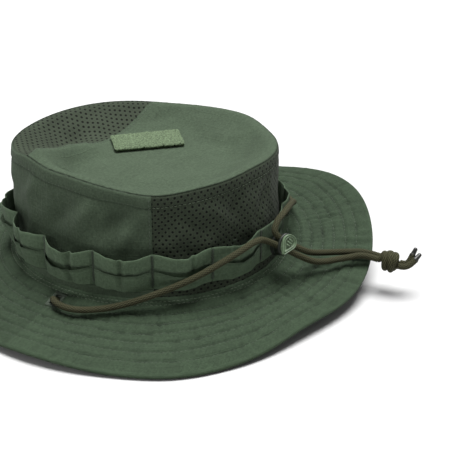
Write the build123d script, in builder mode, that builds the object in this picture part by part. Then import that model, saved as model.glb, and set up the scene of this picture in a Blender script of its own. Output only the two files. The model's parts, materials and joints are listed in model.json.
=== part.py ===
from build123d import *
import os
from math import atan2, cos, degrees, exp, hypot, pi, radians, sin, sqrt, tan

# Boonie hat, in millimetres. +Z is up, -Y is the front, +X is the wearer's left.
# The brim's rim stands on z = 0 under the crown, whose axis is the Z axis.

# ---- driving dimensions -------------------------------------------------------------
crown_base = (97.2, 90.7)  # half axes of the crown where the brim is sewn on
crown_rim = (90.7, 79.0)  # half axes of the crown at its top seam
crown_turn = 21.5  # the empty crown lies with its long axis this far off the Y axis
seam_z = 23.5  # height of the crown and brim seam
rim_z = 98.6  # height of the crown's top seam
cloth = 0.8  # one layer of ripstop or mesh
gap = 0.1  # clearance between neighbouring layers

dish_floor = (60.0, 50.0)  # half axes of the flat middle of the crown's top
dish_depth = 13.0
top_seam_y = -45.4  # seam between the top's cloth and its front mesh segment
mesh_side_angle = 49.5  # the wall's mesh panel reaches this far either side of +Y

sweatband_height = 30.0
sweatband_thickness = 1.5

brim_width = 65.0  # measured down the slope
seam_overlap = -0.7  # the brim's plies reach in under the crown's wall
under_wall = 0.3  # and lie this far below it
brim_rest = 3.3  # height of the edge's upper face where the brim lies on the surface
brim_lift = 33.0  # and how much higher the edge is where it is curled up most
brim_lift_angle = 147.0
brim_lift_spread = 40.0
interlining = 1.0

loop_count = 14
first_tack_angle = 14.3
loop_rise = (7.0, 5.2, 5.2, 2.2, 5.0, 7.4, 7.5, 8.0, 8.0, 7.5, 8.0, 7.8, 7.6, 7.4)
tack_rise = 0.7  # the band's stand-off where it is tacked down
band_low = 32.0
band_height = 25.0
band_thickness = 1.4
tack_width = 2.5
tack_thickness = 0.7

patch_size = (50.0, 25.0)
patch_centre = (-21.0, -17.0)
patch_turn = 138.5
patch_thickness = 1.6

slit_length = 16.0
slit_width = 6.8
slit_centre = (105.0, 2.0)
stitch_width = 2.0
anchor_size = (2.0, 9.0, 6.0)
stitch_thickness = 0.6
stitch_clearance = 0.7  # under the flat stitching, where the brim curves away from it

cord_diameter = 4.5
cord_offset = 2.45  # each cord's distance from the middle, in the lock and the knot
lock_lead = {-1: 14.0, 1: 10.0}  # straight run of the left and right cords before the lock's middle
lock_run_out = 16.0  # and after it
knot_lead = 11.0  # and before the knot
tip_length = 5.5
tip_radius = 1.7
knot_radius = 8.8
knot_length = 15.0
knot_round = 3.4
tail_lead = 3.5  # each tail's straight start out of the knot
tail_bends = (3.5, 5.5)  # from a tail's first bend to its second
tail_end = 6.0

lock_face = Vector(-8.0, 117.0, 49.0)
lock_normal = Vector(0.338, 0.838, 0.429)
lock_cord_way = Vector(-0.6368, 0.5391, -0.5513)
face_turn = -9.5  # the drop-shaped face's long axis, off the lock's own Y
face_tip = 8.6  # from the middle of the face to the point of the drop
face_crest = 6.9  # and to its round end
face_half = (5.4, 1.6)  # where the round end meets the straight sides
cap_thickness = 2.4
press_travel = 2.0
barrel_top = cap_thickness + press_travel + 0.2
barrel_end = 17.0
barrel_floor = 1.4
barrel_half = (5.3, 8.0)
stem_half = (3.4, 6.5)
stem_end = 11.6
hole_depth = 7.9
hole_half = (2.45, 5.05)  # along the lock's axis, and across both cords
spring_outer = 2.9
spring_wire = 0.5


# ---- shapes the whole hat shares ----------------------------------------------------
def polar(radius, angle, z):
    return Vector(radius * cos(radians(angle)), radius * sin(radians(angle)), z)


def ellipse_radius(half_axes, angle):
    off_axis = radians(angle - 90.0 - crown_turn)
    return 1.0 / hypot(cos(off_axis) / half_axes[0], sin(off_axis) / half_axes[1])


def wall_half_axes(z, inset=0.0):
    share = (z - seam_z) / (rim_z - seam_z)
    return tuple(low + (top - low) * share - inset for low, top in zip(crown_base, crown_rim))


def edge_height(angle):
    off_peak = (angle - brim_lift_angle + 180.0) % 360.0 - 180.0
    return brim_rest + brim_lift * exp(-((off_peak / brim_lift_spread) ** 2))


def edge_radius(angle):
    drop = seam_z - edge_height(angle)
    return ellipse_radius(crown_base, angle) + sqrt(brim_width**2 - drop**2)


def brim_height(x, y):
    """Height of the brim's upper face over a point of the ground."""
    angle = degrees(atan2(y, x))
    inner = ellipse_radius(crown_base, angle)
    share = (hypot(x, y) - inner) / (edge_radius(angle) - inner)
    return seam_z - under_wall + (edge_height(angle) - seam_z) * share


def crown_tube(low_z, high_z, outer_inset, inner_inset):
    """A sloping wall between two heights, its faces set in from the crown's outside."""
    with BuildPart() as tube:
        for inset, mode in ((outer_inset, Mode.ADD), (inner_inset, Mode.SUBTRACT)):
            for z in (low_z, high_z):
                with BuildSketch(Plane.XY.offset(z)):
                    long_half, short_half = wall_half_axes(z, inset)
                    Ellipse(short_half, long_half, rotation=crown_turn)
            loft(mode=mode)
    return tube.part


def brim_layer(from_width, to_width, top_drop, thickness):
    """A ring of brim between two distances down its slope, top_drop below its upper face."""

    def ring(width, drop):
        points = []
        for step in range(36):
            angle = step * 10.0
            share = width / brim_width
            inner = ellipse_radius(crown_base, angle)
            radius = inner + (edge_radius(angle) - inner) * share
            height = seam_z + (edge_height(angle) - seam_z) * share
            points.append(polar(radius, angle, height - drop))
        return Edge.make_spline(points, periodic=True)

    corners = [
        ring(from_width, top_drop),
        ring(to_width, top_drop),
        ring(to_width, top_drop + thickness),
        ring(from_width, top_drop + thickness),
    ]
    sides = [Face.make_surface_from_curves(corners[i], corners[(i + 1) % 4]) for i in range(4)]
    return Solid(Shell(sides))


# ---- crown --------------------------------------------------------------------------
mesh_left = polar(300.0, 90.0 - mesh_side_angle, 0.0)
mesh_right = polar(300.0, 90.0 + mesh_side_angle, 0.0)

crown_wall = crown_tube(seam_z, rim_z, 0.0, cloth)

with BuildPart() as crown_wall_mesh:
    add(crown_wall)
    with BuildSketch():
        with BuildLine():
            Polyline((0, 0), mesh_left, (0, 300), mesh_right, close=True)
        make_face()
    extrude(amount=150, mode=Mode.INTERSECT)

with BuildPart() as crown_wall_panel:
    add(crown_wall)
    with BuildSketch():
        with BuildLine():
            Polyline((0, -gap), mesh_left + (gap, -gap), (0, 300), mesh_right + (-gap, -gap), close=True)
        make_face()
    extrude(amount=150, mode=Mode.SUBTRACT)

with BuildPart() as crown_dish:
    for rise, mode in ((0.0, Mode.ADD), (cloth, Mode.SUBTRACT)):
        with BuildSketch(Plane.XY.offset(rim_z + rise)):
            long_half, short_half = wall_half_axes(rim_z, cloth + gap)
            Ellipse(short_half, long_half, rotation=crown_turn)
        with BuildSketch(Plane.XY.offset(rim_z - dish_depth + rise)):
            Ellipse(dish_floor[1], dish_floor[0], rotation=crown_turn)
        loft(mode=mode)

with BuildPart() as crown_top_panel:
    add(crown_dish.part)
    split(bisect_by=Plane.XZ.offset(-top_seam_y - gap), keep=Keep.BOTTOM)

with BuildPart() as crown_top_mesh:
    add(crown_dish.part)
    split(bisect_by=Plane.XZ.offset(-top_seam_y), keep=Keep.TOP)

band_inset = cloth + gap
sweatband_low = seam_z + 1.0
sweatband_high = sweatband_low + sweatband_height
lining = crown_tube(sweatband_low, sweatband_high, band_inset, band_inset + sweatband_thickness)
with BuildPart() as sweatband:
    add(lining)

patch_z = rim_z - dish_depth + cloth
with BuildPart() as loop_patch:
    with BuildSketch(Plane.XY.offset(patch_z)):
        with Locations(patch_centre):
            RectangleRounded(*patch_size, radius=1.0, rotation=patch_turn)
    extrude(amount=patch_thickness)

# ---- brim: two plies of cloth over an interlining, with two slits --------------------


def slit_cutter(side):
    with BuildPart() as cutter:
        with Locations((side * slit_centre[0], slit_centre[1], seam_z)):
            Box(slit_length, slit_width, 40.0)
    return cutter.part


slits = slit_cutter(1) + slit_cutter(-1)
upper_drop = under_wall
middle_drop = upper_drop + cloth + gap
lower_drop = middle_drop + interlining + gap

with BuildPart() as brim_upper_ply:
    add(brim_layer(seam_overlap, brim_width, upper_drop, cloth))
    add(slits, mode=Mode.SUBTRACT)

with BuildPart() as brim_interlining:
    add(brim_layer(seam_overlap, brim_width, middle_drop, interlining))
    add(slits, mode=Mode.SUBTRACT)

with BuildPart() as brim_lower_ply:
    add(brim_layer(seam_overlap, brim_width, lower_drop, cloth))
    add(slits, mode=Mode.SUBTRACT)


# Each slit is worked round with a flat frame of stitching that lies on the brim's slope.
def slit_frame(side):
    x, y = side * slit_centre[0], slit_centre[1]
    height = brim_height(x, y)
    along = Vector(side, 0, brim_height(x + side, y) - height)
    across = Vector(0, side, brim_height(x, y + side) - height)
    normal = along.cross(across)
    on_slope = Plane(origin=(x, y, height + stitch_clearance), x_dir=along, z_dir=normal)
    with BuildPart() as frame:
        with BuildSketch(on_slope):
            Rectangle(slit_length + 2 * stitch_width, slit_width + 2 * stitch_width)
            Rectangle(slit_length, slit_width, mode=Mode.SUBTRACT)
        extrude(amount=stitch_thickness)
    return frame.part


left_frame = slit_frame(1)
with BuildPart() as slit_stitching_left:
    add(left_frame)

right_frame = slit_frame(-1)
with BuildPart() as slit_stitching_right:
    add(right_frame)

# ---- foliage loops: one folded band, tacked to the crown between the loops ----------
loop_angle = 360.0 / loop_count


def band_outline(extra):
    points = []
    for number, rise in enumerate(loop_rise):
        tack = first_tack_angle + number * loop_angle
        for quarter, share in enumerate((0.0, 0.5, 1.0, 0.5)):
            angle = tack + loop_angle * quarter / 4
            radius = ellipse_radius(wall_half_axes(band_low), angle)
            stand_off = tack_rise + (rise - tack_rise) * share
            points.append(polar(radius + stand_off + extra, angle, 0.0))
    return points


with BuildPart() as foliage_loop_band:
    for extra, mode in ((band_thickness, Mode.ADD), (0.0, Mode.SUBTRACT)):
        with BuildSketch(Plane.XY.offset(band_low)):
            with BuildLine():
                Spline(*band_outline(extra), periodic=True)
            make_face()
        extrude(amount=band_height, mode=mode)

with BuildPart() as loop_bar_tacks:
    for number in range(loop_count):
        angle = first_tack_angle + number * loop_angle
        radius = ellipse_radius(wall_half_axes(band_low), angle)
        radius += tack_rise + band_thickness + 4 * gap
        face = Plane(origin=polar(radius, angle, band_low), x_dir=(0, 0, 1), z_dir=polar(1, angle, 0))
        with BuildSketch(face):
            with Locations((band_height / 2, 0)):
                Rectangle(band_height - 1.0, tack_width)
        extrude(amount=tack_thickness)

# ---- cord lock ----------------------------------------------------------------------
# The lock's plane lies on the face of its button: X runs along the cords, Y across both
# of them and Z out of the face. Everything behind the face is at a depth below it.
lock_plane = Plane(origin=lock_face, x_dir=lock_cord_way, z_dir=lock_normal)


def at_depth(depth):
    return lock_plane.offset(-depth)


def cord_hole(near, far):
    """The slot for the two cords, between two depths behind the face."""
    across = Plane(origin=lock_plane.origin, x_dir=lock_plane.z_dir, z_dir=lock_plane.x_dir)
    with BuildPart() as hole:
        with BuildSketch(across):
            with Locations((-(near + far) / 2, 0)):
                Rectangle(far - near, 2 * hole_half[1])
        extrude(amount=20.0, both=True)
    return hole.part


barrel_hole = cord_hole(hole_depth - hole_half[0], hole_depth + hole_half[0])
stem_hole = cord_hole(hole_depth - hole_half[0] - press_travel + gap, hole_depth + hole_half[0])

with BuildPart() as cord_lock_barrel:
    with BuildSketch(at_depth(barrel_end)):
        Ellipse(*barrel_half)
    extrude(amount=barrel_end - barrel_top)
    with BuildSketch(at_depth(barrel_end - barrel_floor)):
        Ellipse(stem_half[0] + 0.2, stem_half[1] + 0.2)
    extrude(amount=20.0, mode=Mode.SUBTRACT)
    add(barrel_hole, mode=Mode.SUBTRACT)

with BuildPart() as cord_lock_plunger:
    with BuildSketch(at_depth(cap_thickness)):
        with BuildLine():
            tip = Vector(0, -face_tip).rotate(Axis.Z, face_turn)
            crest = Vector(0, face_crest).rotate(Axis.Z, face_turn)
            ends = [Vector(side * face_half[0], face_half[1]).rotate(Axis.Z, face_turn) for side in (1, -1)]
            ThreePointArc(ends[0], crest, ends[1])
            Line(ends[1], tip)
            Line(tip, ends[0])
        make_face()
    extrude(amount=cap_thickness)
    with BuildSketch(at_depth(stem_end)):
        Ellipse(*stem_half)
    extrude(amount=stem_end - cap_thickness)
    add(stem_hole, mode=Mode.SUBTRACT)

spring_low = barrel_end - barrel_floor - gap
with BuildPart() as cord_lock_spring:
    with BuildSketch(at_depth(spring_low)):
        Circle(spring_outer)
        Circle(spring_outer - 2 * spring_wire, mode=Mode.SUBTRACT)
    extrude(amount=spring_low - stem_end - gap)

# ---- knot, tails and tips -----------------------------------------------------------
knot_centre = Vector(-68.5, 162.7, 23.2)
knot_way = Vector(-0.237, 0.971, -0.15).normalized()
knot_side = Vector(-0.971, -0.237, 0.0)
knot_plane = Plane(origin=knot_centre, x_dir=knot_side, z_dir=knot_way)

with BuildPart() as cord_knot:
    with BuildSketch(knot_plane.offset(-knot_length / 2)):
        Circle(knot_radius)
    extrude(amount=knot_length)
    fillet(cord_knot.edges().filter_by(GeomType.CIRCLE), radius=knot_round)

# ---- cords --------------------------------------------------------------------------
hole_centre = lock_plane.from_local_coords(Vector(0, 0, -hole_depth))
hole_way = lock_plane.x_dir
hole_side = lock_plane.y_dir * cord_offset
knot_entry = knot_centre - knot_way * (knot_length / 2)
knot_exit = knot_centre + knot_way * (knot_length / 2)


def through_lock(side):
    """The straight stretch through the lock, beside the other cord."""
    middle = hole_centre + hole_side * side
    return [middle - hole_way * lock_lead[side], middle + hole_way * lock_run_out]


def into_knot(side):
    """The last straight stretch, which meets the knot square."""
    end = knot_entry + knot_side * (cord_offset * side)
    return [end - knot_way * knot_lead, end]


left_route = [
    Vector(92.5, 1.0, 13.5),
    Vector(98.3, 1.0, 13.5),
    Vector(104.0, 1.2, 17.4),
    Vector(108.8, 2.2, 22.4),
    Vector(112.4, 9.2, 22.2),
    Vector(111.6, 19.5, 21.2),
    Vector(106.4, 31.0, 21.6),
    Vector(95.0, 46.0, 23.6),
    Vector(79.0, 65.6, 31.5),
    Vector(56.6, 86.0, 42.0),
    Vector(29.5, 100.6, 53.5),
    Vector(12.5, 103.9, 57.0),
    *through_lock(-1),
    Vector(-28.5, 124.6, 28.2),
    Vector(-38.0, 129.4, 25.8),
    Vector(-47.5, 133.6, 24.9),
    Vector(-55.4, 138.6, 24.6),
    *into_knot(-1),
]
right_route = [
    Vector(-92.5, 1.0, 16.2),
    Vector(-98.3, 1.0, 16.2),
    Vector(-103.6, 1.2, 20.4),
    Vector(-108.0, 1.8, 26.4),
    Vector(-112.4, 9.0, 28.0),
    Vector(-113.6, 22.0, 28.3),
    Vector(-110.5, 35.0, 29.9),
    Vector(-104.0, 48.0, 31.0),
    Vector(-95.5, 59.5, 32.0),
    Vector(-85.5, 69.0, 36.0),
    Vector(-74.0, 77.5, 43.0),
    Vector(-62.0, 85.0, 50.5),
    Vector(-49.5, 91.5, 56.5),
    Vector(-37.0, 97.0, 60.0),
    Vector(-24.5, 101.3, 61.5),
    Vector(-13.5, 102.9, 60.5),
    *through_lock(1),
    Vector(-33.0, 118.6, 31.8),
    Vector(-43.0, 121.0, 27.9),
    Vector(-52.7, 126.9, 26.0),
    Vector(-61.0, 134.8, 25.2),
    *into_knot(1),
]


def bend_radii(name, route):
    """Each bend takes up 0.45 of the shorter run beside it."""
    radii = []
    for before, corner, after in zip(route, route[1:], route[2:]):
        arriving = corner - before
        leaving = after - corner
        turn = arriving.get_angle(leaving)
        radii.append(0.45 * min(arriving.length, leaving.length) / tan(radians(turn / 2)))
        print(f"{name}: run {arriving.length:5.1f}  turn {turn:5.1f}  radius {radii[-1]:6.1f}")
    return radii


def cord_tube(name, route):
    radii = bend_radii(name, route)
    with BuildPart() as tube:
        with BuildLine() as path:
            FilletPolyline(*route, radius=radii)
        with BuildSketch(Plane(origin=route[0], z_dir=route[1] - route[0])):
            Circle(cord_diameter / 2)
        sweep()
    length = sum(edge.length for edge in path.line.edges())
    share = tube.part.volume / (pi * cord_diameter**2 / 4 * length)
    print(f"{name}: length {length:.1f}, volume {share:.4f} of section times length")
    return tube.part


left_tube = cord_tube("chin_cord_left", left_route)
with BuildPart() as chin_cord_left:
    add(left_tube)

right_tube = cord_tube("chin_cord_right", right_route)
with BuildPart() as chin_cord_right:
    add(right_tube)

tail_routes = []
for side, spread in ((1, Vector(-0.62, 0.10, 0.78)), (-1, Vector(-0.80, 0.25, 0.54))):
    start = knot_exit + knot_side * (cord_offset * side)
    first_bend = start + knot_way * tail_lead
    way_between = (knot_way + spread.normalized()).normalized()
    second_bend = first_bend + way_between * tail_bends[0 if side > 0 else 1]
    tail_routes.append([start, first_bend, second_bend, second_bend + spread.normalized() * tail_end])

tail_tubes = [cord_tube(f"cord_tail_{i + 1}", route) for i, route in enumerate(tail_routes)]
with BuildPart() as cord_tails:
    for tube in tail_tubes:
        add(tube)

with BuildPart() as cord_tips:
    for route in tail_routes:
        end_plane = Plane(origin=route[-1], z_dir=route[-1] - route[-2])
        with BuildSketch(end_plane):
            Circle(tip_radius)
        extrude(amount=tip_length)


# Each cord starts at a folded tab that hangs from the seam between crown and brim.
def anchor_tab(side, cord_start):
    with BuildPart() as tab:
        with Locations((cord_start.X - side * anchor_size[0] / 2, cord_start.Y, cord_start.Z)):
            Box(*anchor_size)
    return tab.part


with BuildPart() as cord_anchor_left:
    add(anchor_tab(1, left_route[0]))

with BuildPart() as cord_anchor_right:
    add(anchor_tab(-1, right_route[0]))

# ---- write every piece --------------------------------------------------------------
pieces = {
    "crown_top_panel": crown_top_panel,
    "crown_top_mesh": crown_top_mesh,
    "crown_wall_panel": crown_wall_panel,
    "crown_wall_mesh": crown_wall_mesh,
    "sweatband": sweatband,
    "loop_patch": loop_patch,
    "brim_upper_ply": brim_upper_ply,
    "brim_interlining": brim_interlining,
    "brim_lower_ply": brim_lower_ply,
    "slit_stitching_left": slit_stitching_left,
    "slit_stitching_right": slit_stitching_right,
    "foliage_loop_band": foliage_loop_band,
    "loop_bar_tacks": loop_bar_tacks,
    "cord_lock_barrel": cord_lock_barrel,
    "cord_lock_plunger": cord_lock_plunger,
    "cord_lock_spring": cord_lock_spring,
    "chin_cord_left": chin_cord_left,
    "chin_cord_right": chin_cord_right,
    "cord_knot": cord_knot,
    "cord_tails": cord_tails,
    "cord_tips": cord_tips,
    "cord_anchor_left": cord_anchor_left,
    "cord_anchor_right": cord_anchor_right,
}
os.makedirs("parts", exist_ok=True)
for name, piece in pieces.items():
    piece.part.label = name
    export_step(piece.part, f"parts/{name}.step")
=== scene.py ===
import bpy
import json
from math import atan2, cos, degrees, exp, hypot, pi, radians, sin, sqrt
from mathutils import Vector, noise
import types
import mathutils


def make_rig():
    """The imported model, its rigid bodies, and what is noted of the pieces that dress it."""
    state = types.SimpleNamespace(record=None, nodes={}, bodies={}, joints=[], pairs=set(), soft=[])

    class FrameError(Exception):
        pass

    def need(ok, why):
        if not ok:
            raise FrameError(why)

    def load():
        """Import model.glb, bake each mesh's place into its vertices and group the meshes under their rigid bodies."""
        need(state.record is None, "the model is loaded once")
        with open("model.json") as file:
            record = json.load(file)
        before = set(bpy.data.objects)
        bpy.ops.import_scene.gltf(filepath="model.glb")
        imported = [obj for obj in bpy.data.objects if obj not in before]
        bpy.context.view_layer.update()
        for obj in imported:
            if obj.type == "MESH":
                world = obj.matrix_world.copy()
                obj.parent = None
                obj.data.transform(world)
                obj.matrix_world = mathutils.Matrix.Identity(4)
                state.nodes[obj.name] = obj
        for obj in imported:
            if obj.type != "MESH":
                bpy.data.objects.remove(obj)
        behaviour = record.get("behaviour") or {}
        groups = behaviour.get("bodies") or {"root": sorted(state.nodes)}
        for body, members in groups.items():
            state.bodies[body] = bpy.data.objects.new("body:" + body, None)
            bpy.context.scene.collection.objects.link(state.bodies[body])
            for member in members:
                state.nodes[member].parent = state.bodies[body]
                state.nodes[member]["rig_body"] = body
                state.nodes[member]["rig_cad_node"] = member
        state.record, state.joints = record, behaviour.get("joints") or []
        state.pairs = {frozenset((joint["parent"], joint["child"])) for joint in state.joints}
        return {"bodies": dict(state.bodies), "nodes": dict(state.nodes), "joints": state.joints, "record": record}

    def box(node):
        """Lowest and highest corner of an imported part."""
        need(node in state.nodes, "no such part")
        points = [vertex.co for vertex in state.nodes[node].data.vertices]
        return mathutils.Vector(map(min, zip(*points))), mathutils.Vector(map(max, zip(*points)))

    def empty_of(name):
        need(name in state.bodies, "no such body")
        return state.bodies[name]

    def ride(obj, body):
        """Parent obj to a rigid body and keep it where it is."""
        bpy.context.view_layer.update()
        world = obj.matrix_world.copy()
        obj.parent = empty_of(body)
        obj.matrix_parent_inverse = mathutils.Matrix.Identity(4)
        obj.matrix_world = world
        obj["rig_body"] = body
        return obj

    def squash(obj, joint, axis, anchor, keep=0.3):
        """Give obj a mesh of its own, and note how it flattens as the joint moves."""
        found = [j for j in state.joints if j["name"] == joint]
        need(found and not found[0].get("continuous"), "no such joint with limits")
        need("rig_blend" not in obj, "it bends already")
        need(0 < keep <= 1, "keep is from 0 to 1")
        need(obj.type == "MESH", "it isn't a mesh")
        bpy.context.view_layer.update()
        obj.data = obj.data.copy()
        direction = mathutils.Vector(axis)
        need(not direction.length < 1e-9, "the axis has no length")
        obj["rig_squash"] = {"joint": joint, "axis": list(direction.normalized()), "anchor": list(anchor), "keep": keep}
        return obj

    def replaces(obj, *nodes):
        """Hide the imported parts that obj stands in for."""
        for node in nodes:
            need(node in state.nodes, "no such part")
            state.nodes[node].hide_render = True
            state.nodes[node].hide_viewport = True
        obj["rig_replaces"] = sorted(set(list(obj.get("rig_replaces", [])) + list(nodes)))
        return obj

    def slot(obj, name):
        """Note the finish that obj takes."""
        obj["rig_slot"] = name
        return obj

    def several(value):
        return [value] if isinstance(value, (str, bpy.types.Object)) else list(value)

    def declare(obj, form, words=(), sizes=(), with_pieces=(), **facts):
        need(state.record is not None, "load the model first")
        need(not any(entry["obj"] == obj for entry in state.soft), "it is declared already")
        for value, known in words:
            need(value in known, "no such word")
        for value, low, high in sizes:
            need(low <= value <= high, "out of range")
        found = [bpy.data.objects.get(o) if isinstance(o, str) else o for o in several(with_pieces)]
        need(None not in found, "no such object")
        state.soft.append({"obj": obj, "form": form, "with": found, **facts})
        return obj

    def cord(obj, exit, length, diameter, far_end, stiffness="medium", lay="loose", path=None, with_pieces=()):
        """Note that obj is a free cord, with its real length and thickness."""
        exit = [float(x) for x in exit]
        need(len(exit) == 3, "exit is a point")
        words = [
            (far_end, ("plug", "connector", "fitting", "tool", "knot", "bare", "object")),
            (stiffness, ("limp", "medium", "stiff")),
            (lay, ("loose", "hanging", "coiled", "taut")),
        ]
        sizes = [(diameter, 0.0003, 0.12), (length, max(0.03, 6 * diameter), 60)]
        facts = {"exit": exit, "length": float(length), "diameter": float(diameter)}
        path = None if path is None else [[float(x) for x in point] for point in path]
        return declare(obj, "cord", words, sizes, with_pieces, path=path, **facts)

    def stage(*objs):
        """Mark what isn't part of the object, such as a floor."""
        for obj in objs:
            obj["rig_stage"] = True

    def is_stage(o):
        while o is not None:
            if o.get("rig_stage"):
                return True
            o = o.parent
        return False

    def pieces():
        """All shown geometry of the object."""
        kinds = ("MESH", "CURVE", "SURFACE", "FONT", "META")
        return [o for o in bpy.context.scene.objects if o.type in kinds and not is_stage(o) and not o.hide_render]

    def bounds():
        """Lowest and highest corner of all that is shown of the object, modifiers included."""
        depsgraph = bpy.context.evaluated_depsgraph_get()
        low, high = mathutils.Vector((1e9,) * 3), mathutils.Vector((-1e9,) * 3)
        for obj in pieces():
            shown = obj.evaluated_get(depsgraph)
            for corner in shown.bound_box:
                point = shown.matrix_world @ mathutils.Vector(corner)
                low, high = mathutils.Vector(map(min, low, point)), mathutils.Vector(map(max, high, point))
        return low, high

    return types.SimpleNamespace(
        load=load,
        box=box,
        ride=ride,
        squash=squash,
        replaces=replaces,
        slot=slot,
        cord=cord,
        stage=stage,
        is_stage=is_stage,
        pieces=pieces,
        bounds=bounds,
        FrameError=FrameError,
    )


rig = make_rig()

# Boonie hat, in metres, in the frame's own axes: +Z is up, -Y is the front and +X is the
# wearer's left. The brim rests on z = 0.
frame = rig.load()
cad_low, cad_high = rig.bounds()

MM = 0.001

# ---- sizes from the frame, and those that shape the cloth ------------
seam_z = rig.box("crown_wall_panel")[0][2]
rim_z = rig.box("crown_wall_panel")[1][2]
band_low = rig.box("foliage_loop_band")[0][2]
band_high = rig.box("foliage_loop_band")[1][2]
sweatband_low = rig.box("sweatband")[0][2]
sweatband_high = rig.box("sweatband")[1][2]
patch_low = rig.box("loop_patch")[0][2]

# Angles go round the hat in degrees, from +X towards +Y. The crown is an oval, given by its half
# axes along +Y and across it, at the brim and at the rim, and turned by crown_turn.
crown_base = (97.2 * MM, 90.7 * MM)
crown_rim = (90.7 * MM, 79.0 * MM)
crown_turn = 21.5
cloth = 0.8 * MM
mesh_thickness = 0.5 * MM
back_angle = 90.0
mesh_side_angle = 49.5  # how far the wall's mesh reaches to each side of the back
cloth_edge = (back_angle - mesh_side_angle, back_angle + mesh_side_angle)
top_seam_y = -45.4 * MM
dish_depth = rim_z - patch_low + cloth
patch_centre = Vector((-21.0, -17.0, 0.0)) * MM

# The brim's edge is brim_rest above the floor, and rises by brim_lift at brim_lift_angle.
brim_width = 65.0 * MM
brim_rest = 3.3 * MM
brim_lift = 33.0 * MM
brim_lift_angle = 147.0
brim_lift_spread = 40.0
# How far each layer lies below the brim's upper face, and the share of the rows' pinch that
# shows on the lower one.
brim_upper_drop = 0.3 * MM
brim_middle_drop = 1.2 * MM
brim_lower_drop = 3.1 * MM
lower_pinch = -0.8
# Distances of the brim's rows of stitching from the crown's seam.
brim_rows = [14.0 * MM, 22.0 * MM, 30.0 * MM, 38.0 * MM, 46.0 * MM, 54.0 * MM]
crown_rows = [2.6 * MM, 5.4 * MM]
# The left cord slit's extent. The right one is its mirror image.
slit_x = (100.4 * MM, 109.6 * MM)
slit_y = (-1.1 * MM, 4.3 * MM)

loop_count = 14
loop_angle = 360.0 / loop_count
first_tack_angle = 14.3
# How far each loop's middle, and each tack, stands off the crown wall.
loop_rise = (7.0, 5.2, 5.2, 2.2, 5.0, 7.4, 7.5, 8.0, 8.0, 7.5, 8.0, 7.8, 7.6, 7.4)
tack_rise = 0.7 * MM
cord_diameter = 4.5 * MM


# ---- surfaces of the crown and brim ----------------------------------
def bump(distance, width):
    return exp(-((distance / width) ** 2))


def polar(radius, angle, z):
    return Vector((radius * cos(radians(angle)), radius * sin(radians(angle)), z))


def ellipse_radius(half_axes, angle):
    off_axis = radians(angle - 90.0 - crown_turn)
    return 1.0 / hypot(cos(off_axis) / half_axes[0], sin(off_axis) / half_axes[1])


# Where the soft crown's rim swells out or is drawn in, and where it stands high or sags:
# place round the crown in degrees, millimetres, and half width in degrees.
rim_swells = ((-54.0, 6.0, 20.0), (124.0, 3.2, 16.0), (160.0, 3.6, 16.0), (92.0, -1.6, 14.0))
rim_heights = (
    (-31.0, 4.0, 12.0),
    (-4.0, 3.4, 19.0),
    (43.0, -3.9, 17.0),
    (205.0, -2.0, 24.0),
    (92.0, 1.2, 14.0),
)
# The same for the brim's edge: where it reaches further out or less far, and where it curls up.
brim_swells = ((44.0, 3.0, 12.0), (83.0, -6.5, 17.0), (148.0, 5.0, 20.0))
brim_curls = ((81.0, 5.0, 15.0), (6.0, 4.5, 18.0))


def turn_between(angle, middle):
    """The turn from middle to angle, from -180 to 180 degrees."""
    return (angle - middle + 180.0) % 360.0 - 180.0


def around(angle, hills):
    """The sum of smooth hills round the hat, in metres."""
    return sum(size * MM * bump(turn_between(angle, middle), width) for middle, size, width in hills)


def wall_radius(angle, z):
    share = (z - seam_z) / (rim_z - seam_z)
    half_axes = [low + (top - low) * share for low, top in zip(crown_base, crown_rim)]
    return ellipse_radius(half_axes, angle)


def rim_radius(angle):
    return ellipse_radius(crown_rim, angle) + around(angle, rim_swells)


def edge_height(angle):
    return brim_rest + brim_lift * bump(turn_between(angle, brim_lift_angle), brim_lift_spread)


def brim_reach(angle):
    """How far the brim's edge stands out from the crown, along the ground."""
    level = sqrt(brim_width**2 - (seam_z - edge_height(angle)) ** 2)
    return level + around(angle, brim_swells)


def smooth(low, high, x):
    share = min(max((x - low) / (high - low), 0.0), 1.0)
    return share * share * (3.0 - 2.0 * share)


def soft(x, y, z, size):
    """Smooth irregularity from -1 to 1, the same on every run."""
    return noise.noise(Vector((x, y, z)) / size)


def mesh_piece(name, vertices, faces, material, uvs=None, wear_and_painted_light=None):
    """A smooth-shaded mesh object. uvs holds one pair for each face corner, in metres."""
    mesh = bpy.data.meshes.new(name)
    mesh.from_pydata(vertices, [], faces)
    if uvs:
        layer = mesh.uv_layers.new(name="cloth")
        layer.data.foreach_set("uv", [value for pair in uvs for value in pair])
    # Point values that lighten the cloth for wear and painted highlight, and darken it as painted shade.
    if wear_and_painted_light:
        attribute = mesh.attributes.new("wear_and_painted_light", "FLOAT", "POINT")
        attribute.data.foreach_set("value", wear_and_painted_light)
    mesh.polygons.foreach_set("use_smooth", [True] * len(mesh.polygons))
    mesh.materials.append(material)
    mesh.update()
    piece = bpy.data.objects.new(name, mesh)
    bpy.context.scene.collection.objects.link(piece)
    return piece


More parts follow.
